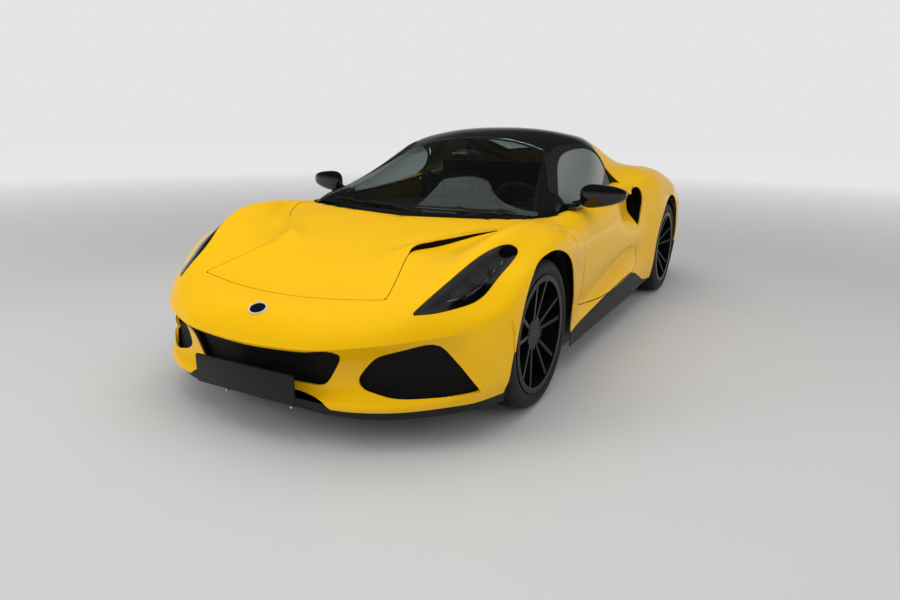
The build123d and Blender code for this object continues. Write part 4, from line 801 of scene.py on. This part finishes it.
upper = hollowed(cut(front_skin.mesh(), short_of(1, DOOR_END)))
rear = rear_skin.mesh()
top = cabin_skin.mesh()
nose = turned_over(grid_mesh(nose_grid))
tail = grid_mesh(tail_grid(60, 121))


def lip_height(points):
    """A raised lip along the bonnet's rear corners, over the channels."""
    reach = np.interp(points[:, 1], [-.245, -.205, -.155, -.09, .05, .19], [0, .016, .028, .030, .015, 0])
    away = np.clip(-in_bonnet(points) / .11, 0, 1)
    rounded_off = (1 - away) ** 2 * (1 + 2 * away)
    return reach * rounded_off * (np.abs(points[:, 0]) > .2)


# ---------------------------------------------------------------- body panels
wings = cut(upper, every(outside(in_bonnet, SHUT), outside(in_lamp, .0012), outside(in_front_arch), cowl,
                         short_of(1, .604)))
wings = cut(wings, outside(every(sill_line, beyond(0, .7), beyond(1, .40))))


def nose_corner(sign):
    """The sheet between the nose face's outer edge and the wing's own front edge."""
    last = (front_skin.across.size - 1) // 2 + len(NOSE_FACE[0]) - 1
    reach = front_skin.at >= front_skin.across[last] - 1e-9
    wing_edge = front_skin.grid[0][reach]
    walk = np.concatenate([[0], np.cumsum(np.linalg.norm(np.diff(wing_edge, axis=0), axis=1))])
    face_edge = nose_grid[:, -1]
    steps = np.linspace(0, walk[-1], len(face_edge))
    wing_edge = np.stack([np.interp(steps, walk, wing_edge[:, axis]) for axis in range(3)], axis=1)
    grid = np.array([face_edge + (wing_edge - face_edge) * share for share in np.linspace(0, 1, 8)])
    grid[:, :, 0] *= sign
    sheet = grid_mesh(grid)
    return sheet if sign < 0 else turned_over(sheet)


nose_sheet = cut(nose, every(outside(in_corner), outside(in_centre), outside(foot_line),
                             outside(in_front_arch)))
front_sheet = joined(wings, cut(nose_corner(1), outside(in_front_arch)),
                     cut(nose_corner(-1), outside(in_front_arch)), nose_sheet)
sheet_piece("front_wings", front_sheet, yellow_paint, "body", slot="body_paint",
            nodes=("front_clam",), angle=30)

bonnet_sheet = cut(upper, grown(in_bonnet, -SHUT))
bonnet_sheet[0][:, 2] += lip_height(bonnet_sheet[0])
sheet_piece("bonnet_panel", bonnet_sheet, yellow_paint, "bonnet", slot="body_paint", nodes=("bonnet",))


def short_inboard(points):
    """The door's top ends sooner than its flank does."""
    return np.where(np.abs(points[:, 0]) < .776, points[:, 1] - 1.705, -1.0)


for sign, hand in SIDES:
    sheet = cut(cut(upper, side(sign)), every(grown(in_door, -SHUT), short_inboard))
    sheet_piece(f"door_panel_{hand}", sheet, yellow_paint, f"door_{hand}", slot="body_paint",
                nodes=(f"door_{hand}",))

sill_band = cut(upper, every(beyond(0, .70), beyond(1, .60), short_of(1, DOOR_END),
                             outside(in_door, SHUT), outside(in_front_arch), short_of(2, .5)))
sheet_piece("sill_panels", cut(sill_band, outside(sill_line)), yellow_paint, "body", slot="body_paint")
skirt_band = cut(upper, every(beyond(0, .70), outside(in_front_arch), outside(in_rear_arch), sill_line,
                              beyond(1, .40), short_of(1, DOOR_END)))
skirt_rear = cut(rear, every(beyond(0, .70), outside(in_rear_arch), sill_line, beyond(1, DOOR_END),
                             short_of(1, 2.3)))
sheet_piece("sill_skirts", joined(skirt_band, skirt_rear), black_trim, "body", slot="black_trim",
            nodes=("side_skirts",))

roof_end = line([(.30, 1.850), (.452, 1.850), (.463, 1.715), (.56, 1.665), (.62, 1.625), (.80, 1.57)], (0, 1))


def behind_door(points):
    """The flank starts behind the door; above the waist the haunch runs on forward."""
    width, along, height = np.abs(points[:, 0]), points[:, 1], points[:, 2]
    waist = np.where(along > 1.76, 9.0, .812)
    flank = ((width > .782) & (height < waist)) | (height < .79)
    return np.where(flank, DOOR_END + SHUT - along, -1.0)


def above_sill(points):
    """The haunch ends at the sill line, ahead of the rear wheel."""
    return np.where(points[:, 1] < 2.3, -sill_line(points), -1.0)


tail_hem = outside(every(beyond(1, 2.95), short_of(2, HEM)))
rear_sheet = cut(rear, every(outside(roof_end), outside(in_glass, .004), outside(in_rear_arch),
                             outside(in_lid, SHUT), outside(in_scoop), behind_door, above_sill, tail_hem))
tail_sheet = cut(tail, every(tail_hem, outside(in_tail_lamp), outside(in_tail_vent),
                             outside(in_tail_outlet)))
sheet_piece("rear_haunches", joined(rear_sheet, tail_sheet), yellow_paint, "body", slot="body_paint",
            nodes=("rear_clam",), angle=30)

lid_sheet = cut(rear, every(grown(in_lid, -SHUT), outside(in_rear_glass)))
sheet_piece("tailgate_panel", lid_sheet, yellow_paint, "tailgate", slot="body_paint", nodes=("tailgate",))
sheet_piece("rear_glass", cut(rear, grown(in_rear_glass, -GLASS_GAP)), screen_glass, "tailgate",
            slot="screen_glass", nodes=("rear_window",))
frit = cut(rear, every(grown(in_rear_glass, .012), outside(in_rear_glass, -.035)))
sheet_piece("rear_glass_surround", moved_in(frit, .0045), black_trim, "tailgate", thick=THIN)

roof_main = cut(top, every(outside(in_screen, GLASS_GAP), outside(in_glass, GLASS_GAP), roof_end,
                           short_of(1, 1.70), beyond(1, .44)))
roof_back = cut(rear, every(beyond(1, 1.698), roof_end, short_of(1, 1.850)))
sheet_piece("roof_panel", joined(roof_main, roof_back), black_gloss, "body", slot="black_paint",
            nodes=("roof_frame",))
sheet_piece("screen", moved_in(cut(top, grown(in_screen, -GLASS_GAP)), .0015), screen_glass, "body",
            slot="screen_glass", nodes=("windscreen",))
screen_band = cut(top, every(grown(in_screen, .004), outside(in_screen, -.030)))
sheet_piece("screen_border", moved_in(screen_band, .0065), black_trim, "body", thick=.0015)
for sign, hand in SIDES:
    half = cut(top, side(sign))
    sheet_piece(f"window_{hand}", moved_in(cut(half, grown(in_glass, -GLASS_GAP)), .002), side_glass,
                f"door_{hand}", slot="side_glass", nodes=(f"door_glass_{hand}",))
    trim = cut(half, every(grown(in_glass, .010), outside(in_glass, -.014), beyond(2, .80)))
    sheet_piece(f"window_seal_{hand}", moved_in(trim, -.0008), black_trim, f"door_{hand}", thick=.004)

cowl_sheet = cut(upper, every(outside(cowl), short_of(1, .62), short_of(0, .79)))
sheet_piece("cowl_panel", moved_in(cowl_sheet, .010), black_trim, "body", slot="black_trim")

# painted shade: black flanges under the bonnet and lid gaps, so that the shut lines read dark
for name, field, skin_mesh in (("bonnet_gap_shade", in_bonnet, cut(upper, short_of(1, .5))),
                               ("lid_gap_shade", in_lid, rear)):
    band = cut(skin_mesh, every(grown(field, .016), outside(field, -.020)))
    sheet_piece(name, moved_in(band, .011), black_lining, "body", thick=THIN)
# painted shade: the same black flange under the door gaps
door_gap_shade_band = cut(upper, every(beyond(1, .66), grown(in_door, .014), outside(in_door, -.016),
                             beyond(0, .62), outside(in_front_arch)))
sheet_piece("door_gap_shades", moved_in(door_gap_shade_band, .012), black_lining, "body", thick=THIN)

# slit under the bonnet's raised lip
slit = cut(upper, every(grown(in_bonnet, -.006), outside(in_bonnet, -.026), beyond(1, -.245),
                        short_of(1, .19), beyond(0, .3)))
raised = (slit[0] + (0, 0, 1) * lip_height(slit[0])[:, None] - (0, 0, .004), slit[1])
sheet_piece("scoop_walls", joined(rim(slit, raised), slit), black_lining, "body", thick=0)

# headlamps: a smoked cover over a dark bowl with three units and a bright strip
lamp_sheet = cut(upper, grown(in_lamp, -GLASS_GAP))
sheet_piece("lamp_covers", lamp_sheet, lamp_glass, "body", thick=.003, slot="lamp_glass",
            nodes=("headlamps",))
bowl = cut(upper, grown(in_lamp, .002))
deep = moved_in(bowl, np.clip(-in_lamp(bowl[0]) * 1.6 + .012, .012, .055))
sheet_piece("lamp_bowls", joined(rim(bowl, deep), deep), black_gloss, "body", thick=0, angle=50)
band = cut(upper, every(grown(in_lamp, -GLASS_GAP), outside(in_lamp, -.016)))
sheet_piece("lamp_border", moved_in(band, .004), black_gloss, "body", thick=.0015)
for place, low in enumerate((-.47, -.37, -.27)):
    bar = cut(upper, every(grown(in_lamp, -.034), beyond(1, low), lambda p, low=low: p[:, 1] - low - .052))
    sheet_piece(f"lamp_unit_{place + 1}", moved_in(bar, .030), lamp_unit, "body", thick=.012, angle=60)
strip_line = every(outside(in_lamp, -.029), grown(in_lamp, -.024),
                   lambda p: np.where(np.abs(p[:, 0]) > .70, p[:, 1] + .20, 1.0),
                   line([(.60, -.75), (.70, -.50), (.80, -.20), (.90, .10)], (0, 1)))
strip = moved_in(cut(upper, strip_line), .008)
sheet_piece("lamp_strips", strip, light_strip, "body", thick=.006)


def mesh_and_duct(name, mouth, ledge, mesh_depth, duct_depth, nodes=()):
    """Mesh across an opening, and a dark duct from its ledge to its back."""
    sheet_piece(f"{name}_mesh", moved_in(mouth, mesh_depth), black_mesh, "body", thick=0, nodes=nodes)
    back = moved_in(mouth, duct_depth)
    sheet_piece(f"{name}_duct", joined(rim(ledge, back), back), black_lining, "body", thick=0)


# front intakes: a painted return on the corner ones, a black one in the middle
for name, field, finish, slot, nodes in (
        ("corner_intake", in_corner, yellow_paint, "body_paint", ()),
        ("centre_intake", in_centre, black_trim, "black_trim", ("front_grilles",))):
    mouth = cut(nose, grown(field, OVERLAP))
    ledge = moved_in(mouth, .016)
    sheet_piece(f"{name}_return", rim(mouth, ledge), finish, "body", thick=THIN, slot=slot)
    mesh_and_duct(name, mouth, ledge, .030, .075, nodes)

# side scoops: the mouth behind the door, its duct running back under the haunch
SCOOP_WALL = 1.832  # the walls start here, clear of the door
mouth = cut(rear, every(grown(in_scoop, OVERLAP), beyond(1, 1.8185)))
ledge = (mouth[0] - np.sign(mouth[0][:, :1]) * (.010, 0, 0) + (0, .006, 0), mouth[1])
back = (mouth[0] - np.sign(mouth[0][:, :1]) * (.10, 0, 0) + (0, .05, 0), mouth[1])
sheet_piece("scoop_return", cut(rim(mouth, ledge), beyond(1, SCOOP_WALL)), yellow_paint, "body",
            thick=THIN, slot="body_paint")
sheet_piece("scoop_duct", joined(cut(rim(ledge, back), beyond(1, SCOOP_WALL)), back), black_lining, "body",
            thick=0, nodes=("side_vents",))

# tail: lamps, vents
sheet_piece("tail_lamp_glass", cut(tail, grown(in_tail_lamp, -GLASS_GAP)), red_lamp, "body", thick=.012,
            slot="red_lamp", nodes=("tail_lamps",))
for name, field in (("tail_centre", in_tail_vent), ("tail_outlet", in_tail_outlet)):
    mouth = cut(tail, grown(field, OVERLAP))
    mesh_and_duct(name, mouth, mouth, .018, .05)

# black foot under the nose: down from the lip, then back under the floor
lip_edge = nose_grid[-1].copy()
lip_edge = lip_edge[np.abs(lip_edge[:, 0]) < .905]
tuck = [(.020, .006), (.030, -.020), (.040, -.044), (.12, -.050), (.30, -.050)]
rows = []
for back, drop in tuck:
    row = lip_edge.copy()
    away = np.stack([-row[:, 0] * .45, 1.0 - row[:, 1], 0 * row[:, 0]], axis=1)
    row += away / np.linalg.norm(away, axis=1, keepdims=True) * back
    row[:, 1] = np.minimum(row[:, 1], np.maximum(-.45, lip_edge[:, 1] + .012))
    row[:, 2] += drop
    rows.append(row)
sheet_piece("nose_foot", turned_over(grid_mesh(np.array(rows))), black_trim, "body", slot="black_trim",
            nodes=("front_splitter",))


# wipers parked along the foot of the screen
def along_screen(x, rise, lift):
    """A spot over the glass, a little above its foot."""
    foot_at = np.interp(abs(x), [0, .40, .70], [.345, .383, .463]) + rise
    near = np.argmin((top[0][:, 0] - x) ** 2 + (top[0][:, 1] - foot_at) ** 2)
    return top[0][near] + normals(top)[near] * lift + (0, AXLE, 0)


def cord_of(name, places, radius):
    """A round bar through the places, as a mesh."""
    bend = bpy.data.curves.new(name, "CURVE")
    bend.dimensions, bend.bevel_depth, bend.bevel_resolution, bend.use_fill_caps = "3D", radius, 3, True
    path = bend.splines.new("POLY")
    path.points.add(len(places) - 1)
    for point, place in zip(path.points, places):
        point.co = (*place, 1)
    piece = bpy.data.objects.new(name, bend)
    bpy.context.collection.objects.link(piece)
    only(piece)
    bpy.ops.object.convert(target="MESH")
    return bpy.context.object


blades = []
for start, stop, pivot in ((-.56, .02, .10), (.00, .56, .60)):
    steps = np.linspace(start, stop, 24)
    blades.append(cord_of("blade", [along_screen(x, .020 + .02 * (stop - x), .007) for x in steps], .0045))
    middle = (start + stop) / 2
    steps = np.linspace(middle, pivot, 12)
    blades.append(cord_of("arm", [along_screen(x, .020 - .035 * (x - middle) / (pivot - middle), .014)
                                  for x in steps], .0055))
done(united("wiper_set", *blades), black_trim, "body", "black_trim", ("wipers",), 40)


# ---------------------------------------------------------------- finishes of the frame's own parts
finishes = {
    "front_subframe": cast_grey, "rear_subframe": cast_grey, "engine": dark_metal,
    "diffuser": black_trim, "exhaust_tips": bright_metal, "dashboard": cabin_black,
    "centre_console": cabin_black, "steering_wheel": cabin_black, "arch_liners": black_lining,
    "rear_uprights": cast_grey, "suspension_arms": cast_grey, "door_hinges": tub_black,
}
for end in ("front", "rear"):
    for _, hand in SIDES:
        finishes[f"tyre_{end}_{hand}"] = rubber
        finishes[f"rim_{end}_{hand}"] = wheel_black
        finishes[f"disc_{end}_{hand}"] = disc_steel
for _, hand in SIDES:
    finishes[f"upright_front_{hand}"] = cast_grey
for node, finish in finishes.items():
    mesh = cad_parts[node].data
    for place in range(max(len(mesh.materials), 1)):
        if len(mesh.materials):
            mesh.materials[place] = finish
        else:
            mesh.materials.append(finish)


# ---------------------------------------------------------------- parts made from primitives
def ball(name, place, size, segments=48, rings=24):
    """A ball with its three radii."""
    deselect()
    bpy.ops.mesh.primitive_uv_sphere_add(segments=segments, ring_count=rings, radius=1, location=place)
    piece = bpy.context.object
    piece.name = name
    piece.scale = size
    settle(piece)
    return piece


def slab(name, low, high, bevel=0.004, segments=3):
    """A block between two corners, its edges rounded."""
    deselect()
    low, high = np.array(low, float), np.array(high, float)
    bpy.ops.mesh.primitive_cube_add(size=1, location=(low + high) / 2)
    piece = bpy.context.object
    piece.name = name
    piece.scale = high - low
    settle(piece)
    modified(piece, "BEVEL", width=bevel, segments=segments)
    return piece


def post(name, start, end, radius, segments=32, bevel=0.0):
    """A round bar from one place to another."""
    start, end = np.array(start, float), np.array(end, float)
    run = end - start
    deselect()
    bpy.ops.mesh.primitive_cylinder_add(vertices=segments, radius=radius, depth=float(np.linalg.norm(run)),
                                        location=(start + end) / 2)
    piece = bpy.context.object
    piece.name = name
    piece.rotation_euler = Vector(run).to_track_quat("Z", "Y").to_euler()
    settle(piece)
    if bevel:
        modified(piece, "BEVEL", width=bevel, segments=2, limit_method="ANGLE", angle_limit=math.radians(50))
    return piece


def settle(piece):
    """Puts a piece's place, turn and size in its mesh."""
    only(piece)
    bpy.ops.object.transform_apply(location=True, rotation=True, scale=True)


def places_of(piece):
    """The places of a piece's points."""
    flat = np.empty(len(piece.data.vertices) * 3)
    piece.data.vertices.foreach_get("co", flat)
    return flat.reshape(-1, 3)


def reshape(piece, points):
    """Moves a piece's points."""
    piece.data.vertices.foreach_set("co", np.ascontiguousarray(points, dtype=np.float64).reshape(-1))
    piece.data.update()


def node_copy(name, node):
    """A welded copy of one of the frame's own meshes, free to be reshaped."""
    piece = bpy.data.objects.new(name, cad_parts[node].data.copy())
    bpy.context.collection.objects.link(piece)
    modified(piece, "WELD", merge_threshold=NODE_WELD)
    return piece


tub = node_copy("tub_shell", "floor_tub")
spots = places_of(tub)
spots[:, 0] = np.where(spots[:, 2] < .36, np.clip(spots[:, 0], -.845, .845), spots[:, 0])
reshape(tub, spots)
done(tub, tub_black, "body", "tub", ("floor_tub",), 30)

# number plate: a blank black panel in a thin surround, two bright bolts under it
face_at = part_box("number_plates")[0][1]
plate = slab("front_plate", (-.26, face_at, .190), (.26, face_at + .008, .302), .003)
frame_bar = [slab("bar", (-.262, face_at + .0005, z - .004), (.262, face_at + .012, z + .004), .002)
             for z in (.189, .303)]
frame_bar += [slab("bar", (x - .004, face_at + .0005, .189), (x + .004, face_at + .012, .303), .002)
              for x in (-.261, .261)]
carrier = slab("carrier", (-.20, face_at + .008, .205), (.20, face_at + .060, .285), .006)
done(plate, satin_plate, "body", "plate", ("number_plates",), 30)
done(united("plate_surround", *frame_bar, carrier), black_trim, "body", "black_trim", (), 30)
bolts = [post("bolt", (x, face_at + .016, .176), (x, face_at + .004, .176), .0055, 12, .001)
         for x in (-.10, .245)]
done(united("plate_bolts", *bolts), bright_metal, "body", None, (), 30)


def on_skin(mesh, x, behind):
    """The skin's point and normal nearest to a spot seen from above."""
    points = mesh[0]
    near = np.argmin((points[:, 0] - x) ** 2 + (points[:, 1] - behind) ** 2)
    return points[near] + (0, AXLE, 0), normals(mesh)[near]


def laid(name, size, turn, spot):
    """The new primitive sized, turned and moved, with its place put in its mesh."""
    piece = bpy.context.object
    piece.name = name
    piece.scale, piece.rotation_euler, piece.location = size, turn, spot
    settle(piece)
    return piece


# a blank oval badge on the nose: a bright ring round a dark crowned face
nose_patch = cut(upper, every(short_of(0, .3), short_of(1, -.5)))
spot, normal = on_skin(nose_patch, 0, -.768)
turn = Vector(normal).to_track_quat("Z", "Y").to_euler()
deselect()
bpy.ops.mesh.primitive_uv_sphere_add(segments=48, ring_count=24, radius=1, location=(0, 0, 0))
done(laid("badge_face", (.040, .030, .006), turn, spot), black_gloss, "body", "black_paint", (), 30)
deselect()
bpy.ops.mesh.primitive_torus_add(major_segments=64, minor_segments=12, major_radius=1, minor_radius=.11)
done(laid("badge_ring", (.041, .031, .040), turn, spot), light_strip, "body", None, (), 40)


def boxed(spots):
    """A unit ball's points pushed out towards a cube."""
    return np.sign(spots) * np.abs(spots) ** .72


# door mirrors: a crowned shell on a low arm, its glass facing back
for sign, hand in SIDES:
    shell = ball("mirror_shell", (0, 0, 0), (1, 1, 1), 64, 32)
    spots = boxed(places_of(shell)) * (.120, .050, .058)
    spots[:, 2] *= 1 - .30 * spots[:, 0] / .120
    spots[:, 1] = np.where(spots[:, 1] > 0, spots[:, 1] * .62, spots[:, 1])
    spots[:, 1] += .020 * (spots[:, 0] / .120) + .012 * (spots[:, 0] / .120) ** 2
    spots[:, 2] += .006 * (spots[:, 0] / .120)
    spots += MIRROR_AT
    spots[:, 0] *= sign
    reshape(shell, spots)
    face_outwards(shell)
    glass = ball("mirror_glass", (0, 0, 0), (1, 1, 1), 48, 24)
    spots = boxed(places_of(glass)) * (.102, .004, .044) + (MIRROR_AT[0], -.4755, .882)
    spots[:, 1] += .10 * (spots[:, 0] - MIRROR_AT[0])
    spots[:, 0] *= sign
    reshape(glass, spots)
    face_outwards(glass)
    done(glass, mirror_glass, f"door_{hand}", None, (), 40)
    arm = post("mirror_arm", (sign * .765, -.515, .832), (sign * .885, -.500, .868), .012, 24)
    spots = places_of(arm)
    spots[:, 1] = MIRROR_AT[1] + (spots[:, 1] - MIRROR_AT[1]) * 1.9
    reshape(arm, spots)
    foot_pad = slab("mirror_foot", (sign * .778 - .045, -.60, .806), (sign * .778 + .03, -.44, .836), .012, 4)
    done(united(f"mirror_{hand}_body", shell, arm, foot_pad), black_gloss, f"door_{hand}", "black_paint",
         (f"mirror_{hand}",), 40)


# seats: padded cushions in a hard dark shell
def pad(name, middle, size, lean=0.0, channels=(), crown=.45):
    """A crowned pad: its faces swell, its sides pull in, channels are sewn across its front."""
    deselect()
    bpy.ops.mesh.primitive_cube_add(size=2)
    piece = bpy.context.object
    piece.name = name
    bpy.ops.object.mode_set(mode="EDIT")
    bpy.ops.mesh.select_all(action="SELECT")
    bpy.ops.mesh.subdivide(number_cuts=19)
    bpy.ops.object.mode_set(mode="OBJECT")
    spots = places_of(piece)
    x, y, z = spots.T.copy()
    edge = 1 - np.abs(spots) ** 2.2
    spots[:, 0] = x * (1 - .10 * (1 - edge[:, 2]) - .05 * (1 - edge[:, 1])) * (1 - .03 * edge[:, 1])
    spots[:, 1] = y * (1 - .10 * (1 - edge[:, 2]) - .05 * (1 - edge[:, 0])) * (1 - .03 * edge[:, 0])
    spots[:, 2] = z * (1 - crown + crown * np.sqrt(np.clip(edge[:, 0] * edge[:, 1], 0, 1)))
    for place in channels:
        spots[:, 2] -= .10 * np.exp(-((y - place) / .05) ** 2) * np.clip(z, 0, 1) * (edge[:, 0] > .05)
    spots *= np.array(size) / 2
    turned = spots @ np.array(Matrix.Rotation(lean, 3, "X")).T + middle
    reshape(piece, turned)
    modified(piece, "SUBSURF", levels=1, render_levels=1)
    return piece


PAD_SIDES = (("inner", -.185), ("outer", .185))
for sign, hand in SIDES:
    middle, low_lean, lean = sign * SEAT_AT, math.radians(6), math.radians(68)
    base = pad(f"seat_{hand}_cushion", (middle, -.040, .285), (.300, .46, .12), low_lean,
               (-.5, -.1, .3, .7))
    sides = [pad(f"seat_{hand}_thigh_{end}", (middle + side_at, -.040, .305), (.095, .45, .17), low_lean)
             for end, side_at in PAD_SIDES]
    back = pad(f"seat_{hand}_back", (middle, .262, .565), (.300, .52, .11), lean, (-.6, -.2, .2, .6))
    wings_on = [pad(f"seat_{hand}_wing_{end}", (middle + side_at, .225, .545), (.090, .46, .17), lean)
                for end, side_at in PAD_SIDES]
    head = pad(f"seat_{hand}_head", (middle, .360, .840), (.250, .17, .10), math.radians(74))
    for piece in (base, *sides, back, *wings_on, head):
        stands_for = ("seats",) if piece == base and sign == 1 else ()
        done(piece, seat_leather, "body", "seat_leather", stands_for, 40)
    shell = slab("shell", (middle - .225, -.030, -.35), (middle + .225, .012, .33), .018, 4)
    spots = places_of(shell)
    spots[:, 0] = middle + (spots[:, 0] - middle) * np.interp(spots[:, 2], [-.35, .15, .33], [1, .95, .52])
    turned = spots @ np.array(Matrix.Rotation(math.radians(-22), 3, "X")).T + (0, .335, .580)
    turned[:, 0] = spots[:, 0]
    reshape(shell, turned)
    under = slab("under", (middle - .225, -.255, .165), (middle + .225, .200, .235), .020, 4)
    done(united(f"seat_{hand}_shell", shell, under), black_gloss, "body", None, (), 40)

# rear-view mirror under the roof's front edge
inner = ball("inner", (0, -.330, 1.062), (.110, .016, .030))
stem = post("stem", (0, -.325, 1.075), (0, -.290, 1.135), .008, 16)
done(united("rear_view_mirror", inner, stem), black_gloss, "body", None, (), 40)

# wheel bolts and a blank centre cap on each wheel
for end in ("front", "rear"):
    for way, hand in SIDES:
        node = f"rim_{end}_{hand}"
        low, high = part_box(node)
        middle = (np.array(low) + high) / 2
        spots = places_of(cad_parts[node])
        near = np.hypot(spots[:, 1] - middle[1], spots[:, 2] - middle[2]) < .05
        out = way * ((way * spots[near, 0]).max() + .016)
        hub = [post("cap", (out - way * .060, middle[1], middle[2]),
                    (out - way * .006, middle[1], middle[2]), CAP_RADIUS, 48, .003)]
        for turn in np.radians(np.arange(5) * 72 + 18):
            across, up = BOLT_CIRCLE * math.cos(turn), BOLT_CIRCLE * math.sin(turn)
            hub.append(post("bolt", (out - way * .060, middle[1] + across, middle[2] + up),
                            (out - way * .014, middle[1] + across, middle[2] + up), BOLT_RADIUS, 6, .0015))
        done(united(f"hub_{end}_{hand}", *hub), hub_black, f"wheel_{end}_{hand}", None, (), 40)

# the bulkhead behind the seats, and the lining under the roof
bulkhead = slab("bulkhead", (-.60, .452, .25), (.60, .470, .985), .006)
done(bulkhead, black_lining, "body", None, (), 40)
lining = cut(top, every(outside(in_screen, .012), outside(in_glass, .012), short_of(1, 1.75),
                        beyond(2, 1.02)))
sheet_piece("headliner", moved_in(lining, .014), black_lining, "body", thick=THIN)


# ---------------------------------------------------------------- floor, light and camera
def area_light(name, place, aim, size, power):
    """A softbox that doesn't show in gloss."""
    lamp = bpy.data.lights.new(name, "AREA")
    lamp.shape, lamp.size, lamp.size_y, lamp.energy = "RECTANGLE", size[0], size[1], power
    holder = bpy.data.objects.new(name, lamp)
    holder.location = place
    turn = np.array(aim, float) - np.array(place, float)
    holder.rotation_euler = (math.atan2(math.hypot(turn[0], turn[1]), -turn[2]), 0,
                             math.atan2(turn[0], -turn[1]) + math.pi)
    holder.visible_glossy = False
    bpy.context.collection.objects.link(holder)


deselect()
bpy.ops.mesh.primitive_plane_add(size=60, location=(0, 0, -.0005))
floor = bpy.context.object
floor.name = "studio_floor"
floor_finish = grained("pale floor", (0.60, 0.60, 0.595), (0.54, 0.54, 0.535), 0.5, scale=3.0, spread=0.3)
tree = floor_finish.node_tree
spot = tree.nodes.new("ShaderNodeTexCoord")
reach = tree.nodes.new("ShaderNodeVectorMath")
reach.operation = "LENGTH"
tree.links.new(spot.outputs["Object"], reach.inputs[0])
fade = tree.nodes.new("ShaderNodeMapRange")
for key, value in (("From Min", 3.5), ("From Max", 14.0), ("To Max", 0.46)):
    fade.inputs[key].default_value = value
tree.links.new(reach.outputs["Value"], fade.inputs["Value"])
seen = tree.nodes.new("ShaderNodeLightPath")
glow = math_node(tree, "MULTIPLY", fade.outputs["Result"], math_node(
    tree, "MAXIMUM", seen.outputs["Is Camera Ray"],
    math_node(tree, "MAXIMUM", seen.outputs["Is Glossy Ray"], seen.outputs["Is Transmission Ray"])))
face = tree.nodes["Principled BSDF"]
face.inputs["Emission Color"].default_value = (1, 1, 1, 1)
tree.links.new(glow, face.inputs["Emission Strength"])
floor.data.materials.append(floor_finish)

world = bpy.data.worlds.new("studio")
bpy.context.scene.world = world
world.use_nodes = True
tree = world.node_tree
background = tree.nodes["Background"]
seen = tree.nodes.new("ShaderNodeLightPath")
mirrored = math_node(tree, "MAXIMUM", seen.outputs["Is Glossy Ray"], seen.outputs["Is Transmission Ray"])
looked = math_node(tree, "MAXIMUM", seen.outputs["Is Camera Ray"], mirrored)
way = tree.nodes.new("ShaderNodeTexCoord")
parts = tree.nodes.new("ShaderNodeSeparateXYZ")
tree.links.new(way.outputs["Generated"], parts.inputs[0])
wall = tree.nodes.new("ShaderNodeMapRange")
wall.interpolation_type = "SMOOTHSTEP"
for key, value in (("From Min", 0.03), ("From Max", 0.38), ("To Min", 0.48), ("To Max", 0.03)):
    wall.inputs[key].default_value = value
tree.links.new(parts.outputs["Z"], wall.inputs["Value"])
in_gloss = math_node(tree, "MULTIPLY", mirrored, wall.outputs["Result"])
in_view = math_node(tree, "MULTIPLY", seen.outputs["Is Camera Ray"], BACKDROP)
as_light = math_node(tree, "MULTIPLY", math_node(tree, "SUBTRACT", 1.0, looked), FILL_LIGHT)
strength = math_node(tree, "ADD", in_gloss, math_node(tree, "ADD", in_view, as_light))
tree.links.new(strength, background.inputs["Strength"])
background.inputs["Color"].default_value = (1, 1, 1, 1)

area_light("overhead softbox", (0, -1.0, 4.2), (0, -.2, 0), (5.0, 6.0), 98)
area_light("front softbox", (-4.5, -6.0, 3.0), (0, -.8, .5), (3.0, 2.4), 125)
area_light("side softbox", (6.5, -1.0, 3.0), (0, 0, .6), (4.0, 2.2), 50)

camera_data = bpy.data.cameras.new("studio camera")
camera_data.lens, camera_data.sensor_width = 26.45, 36
camera = bpy.data.objects.new("studio camera", camera_data)
bpy.context.collection.objects.link(camera)
yaw, pitch, roll = math.radians(-28.863), math.radians(14.771), math.radians(0.546)
ahead = np.array([math.cos(pitch) * math.sin(yaw), math.cos(pitch) * math.cos(yaw), -math.sin(pitch)])
right = np.array([math.cos(yaw), -math.sin(yaw), 0.0])
above = np.cross(right, ahead)
right, above = (math.cos(roll) * right + math.sin(roll) * above,
                math.cos(roll) * above - math.sin(roll) * right)
place = np.eye(4)
place[:3, 0], place[:3, 1], place[:3, 2], place[:3, 3] = right, above, -ahead, (1.917, -3.9785, 1.232)
camera.matrix_world = Matrix([[float(value) for value in row] for row in place])
bpy.context.scene.camera = camera
bpy.context.scene.view_settings.view_transform = "Standard"
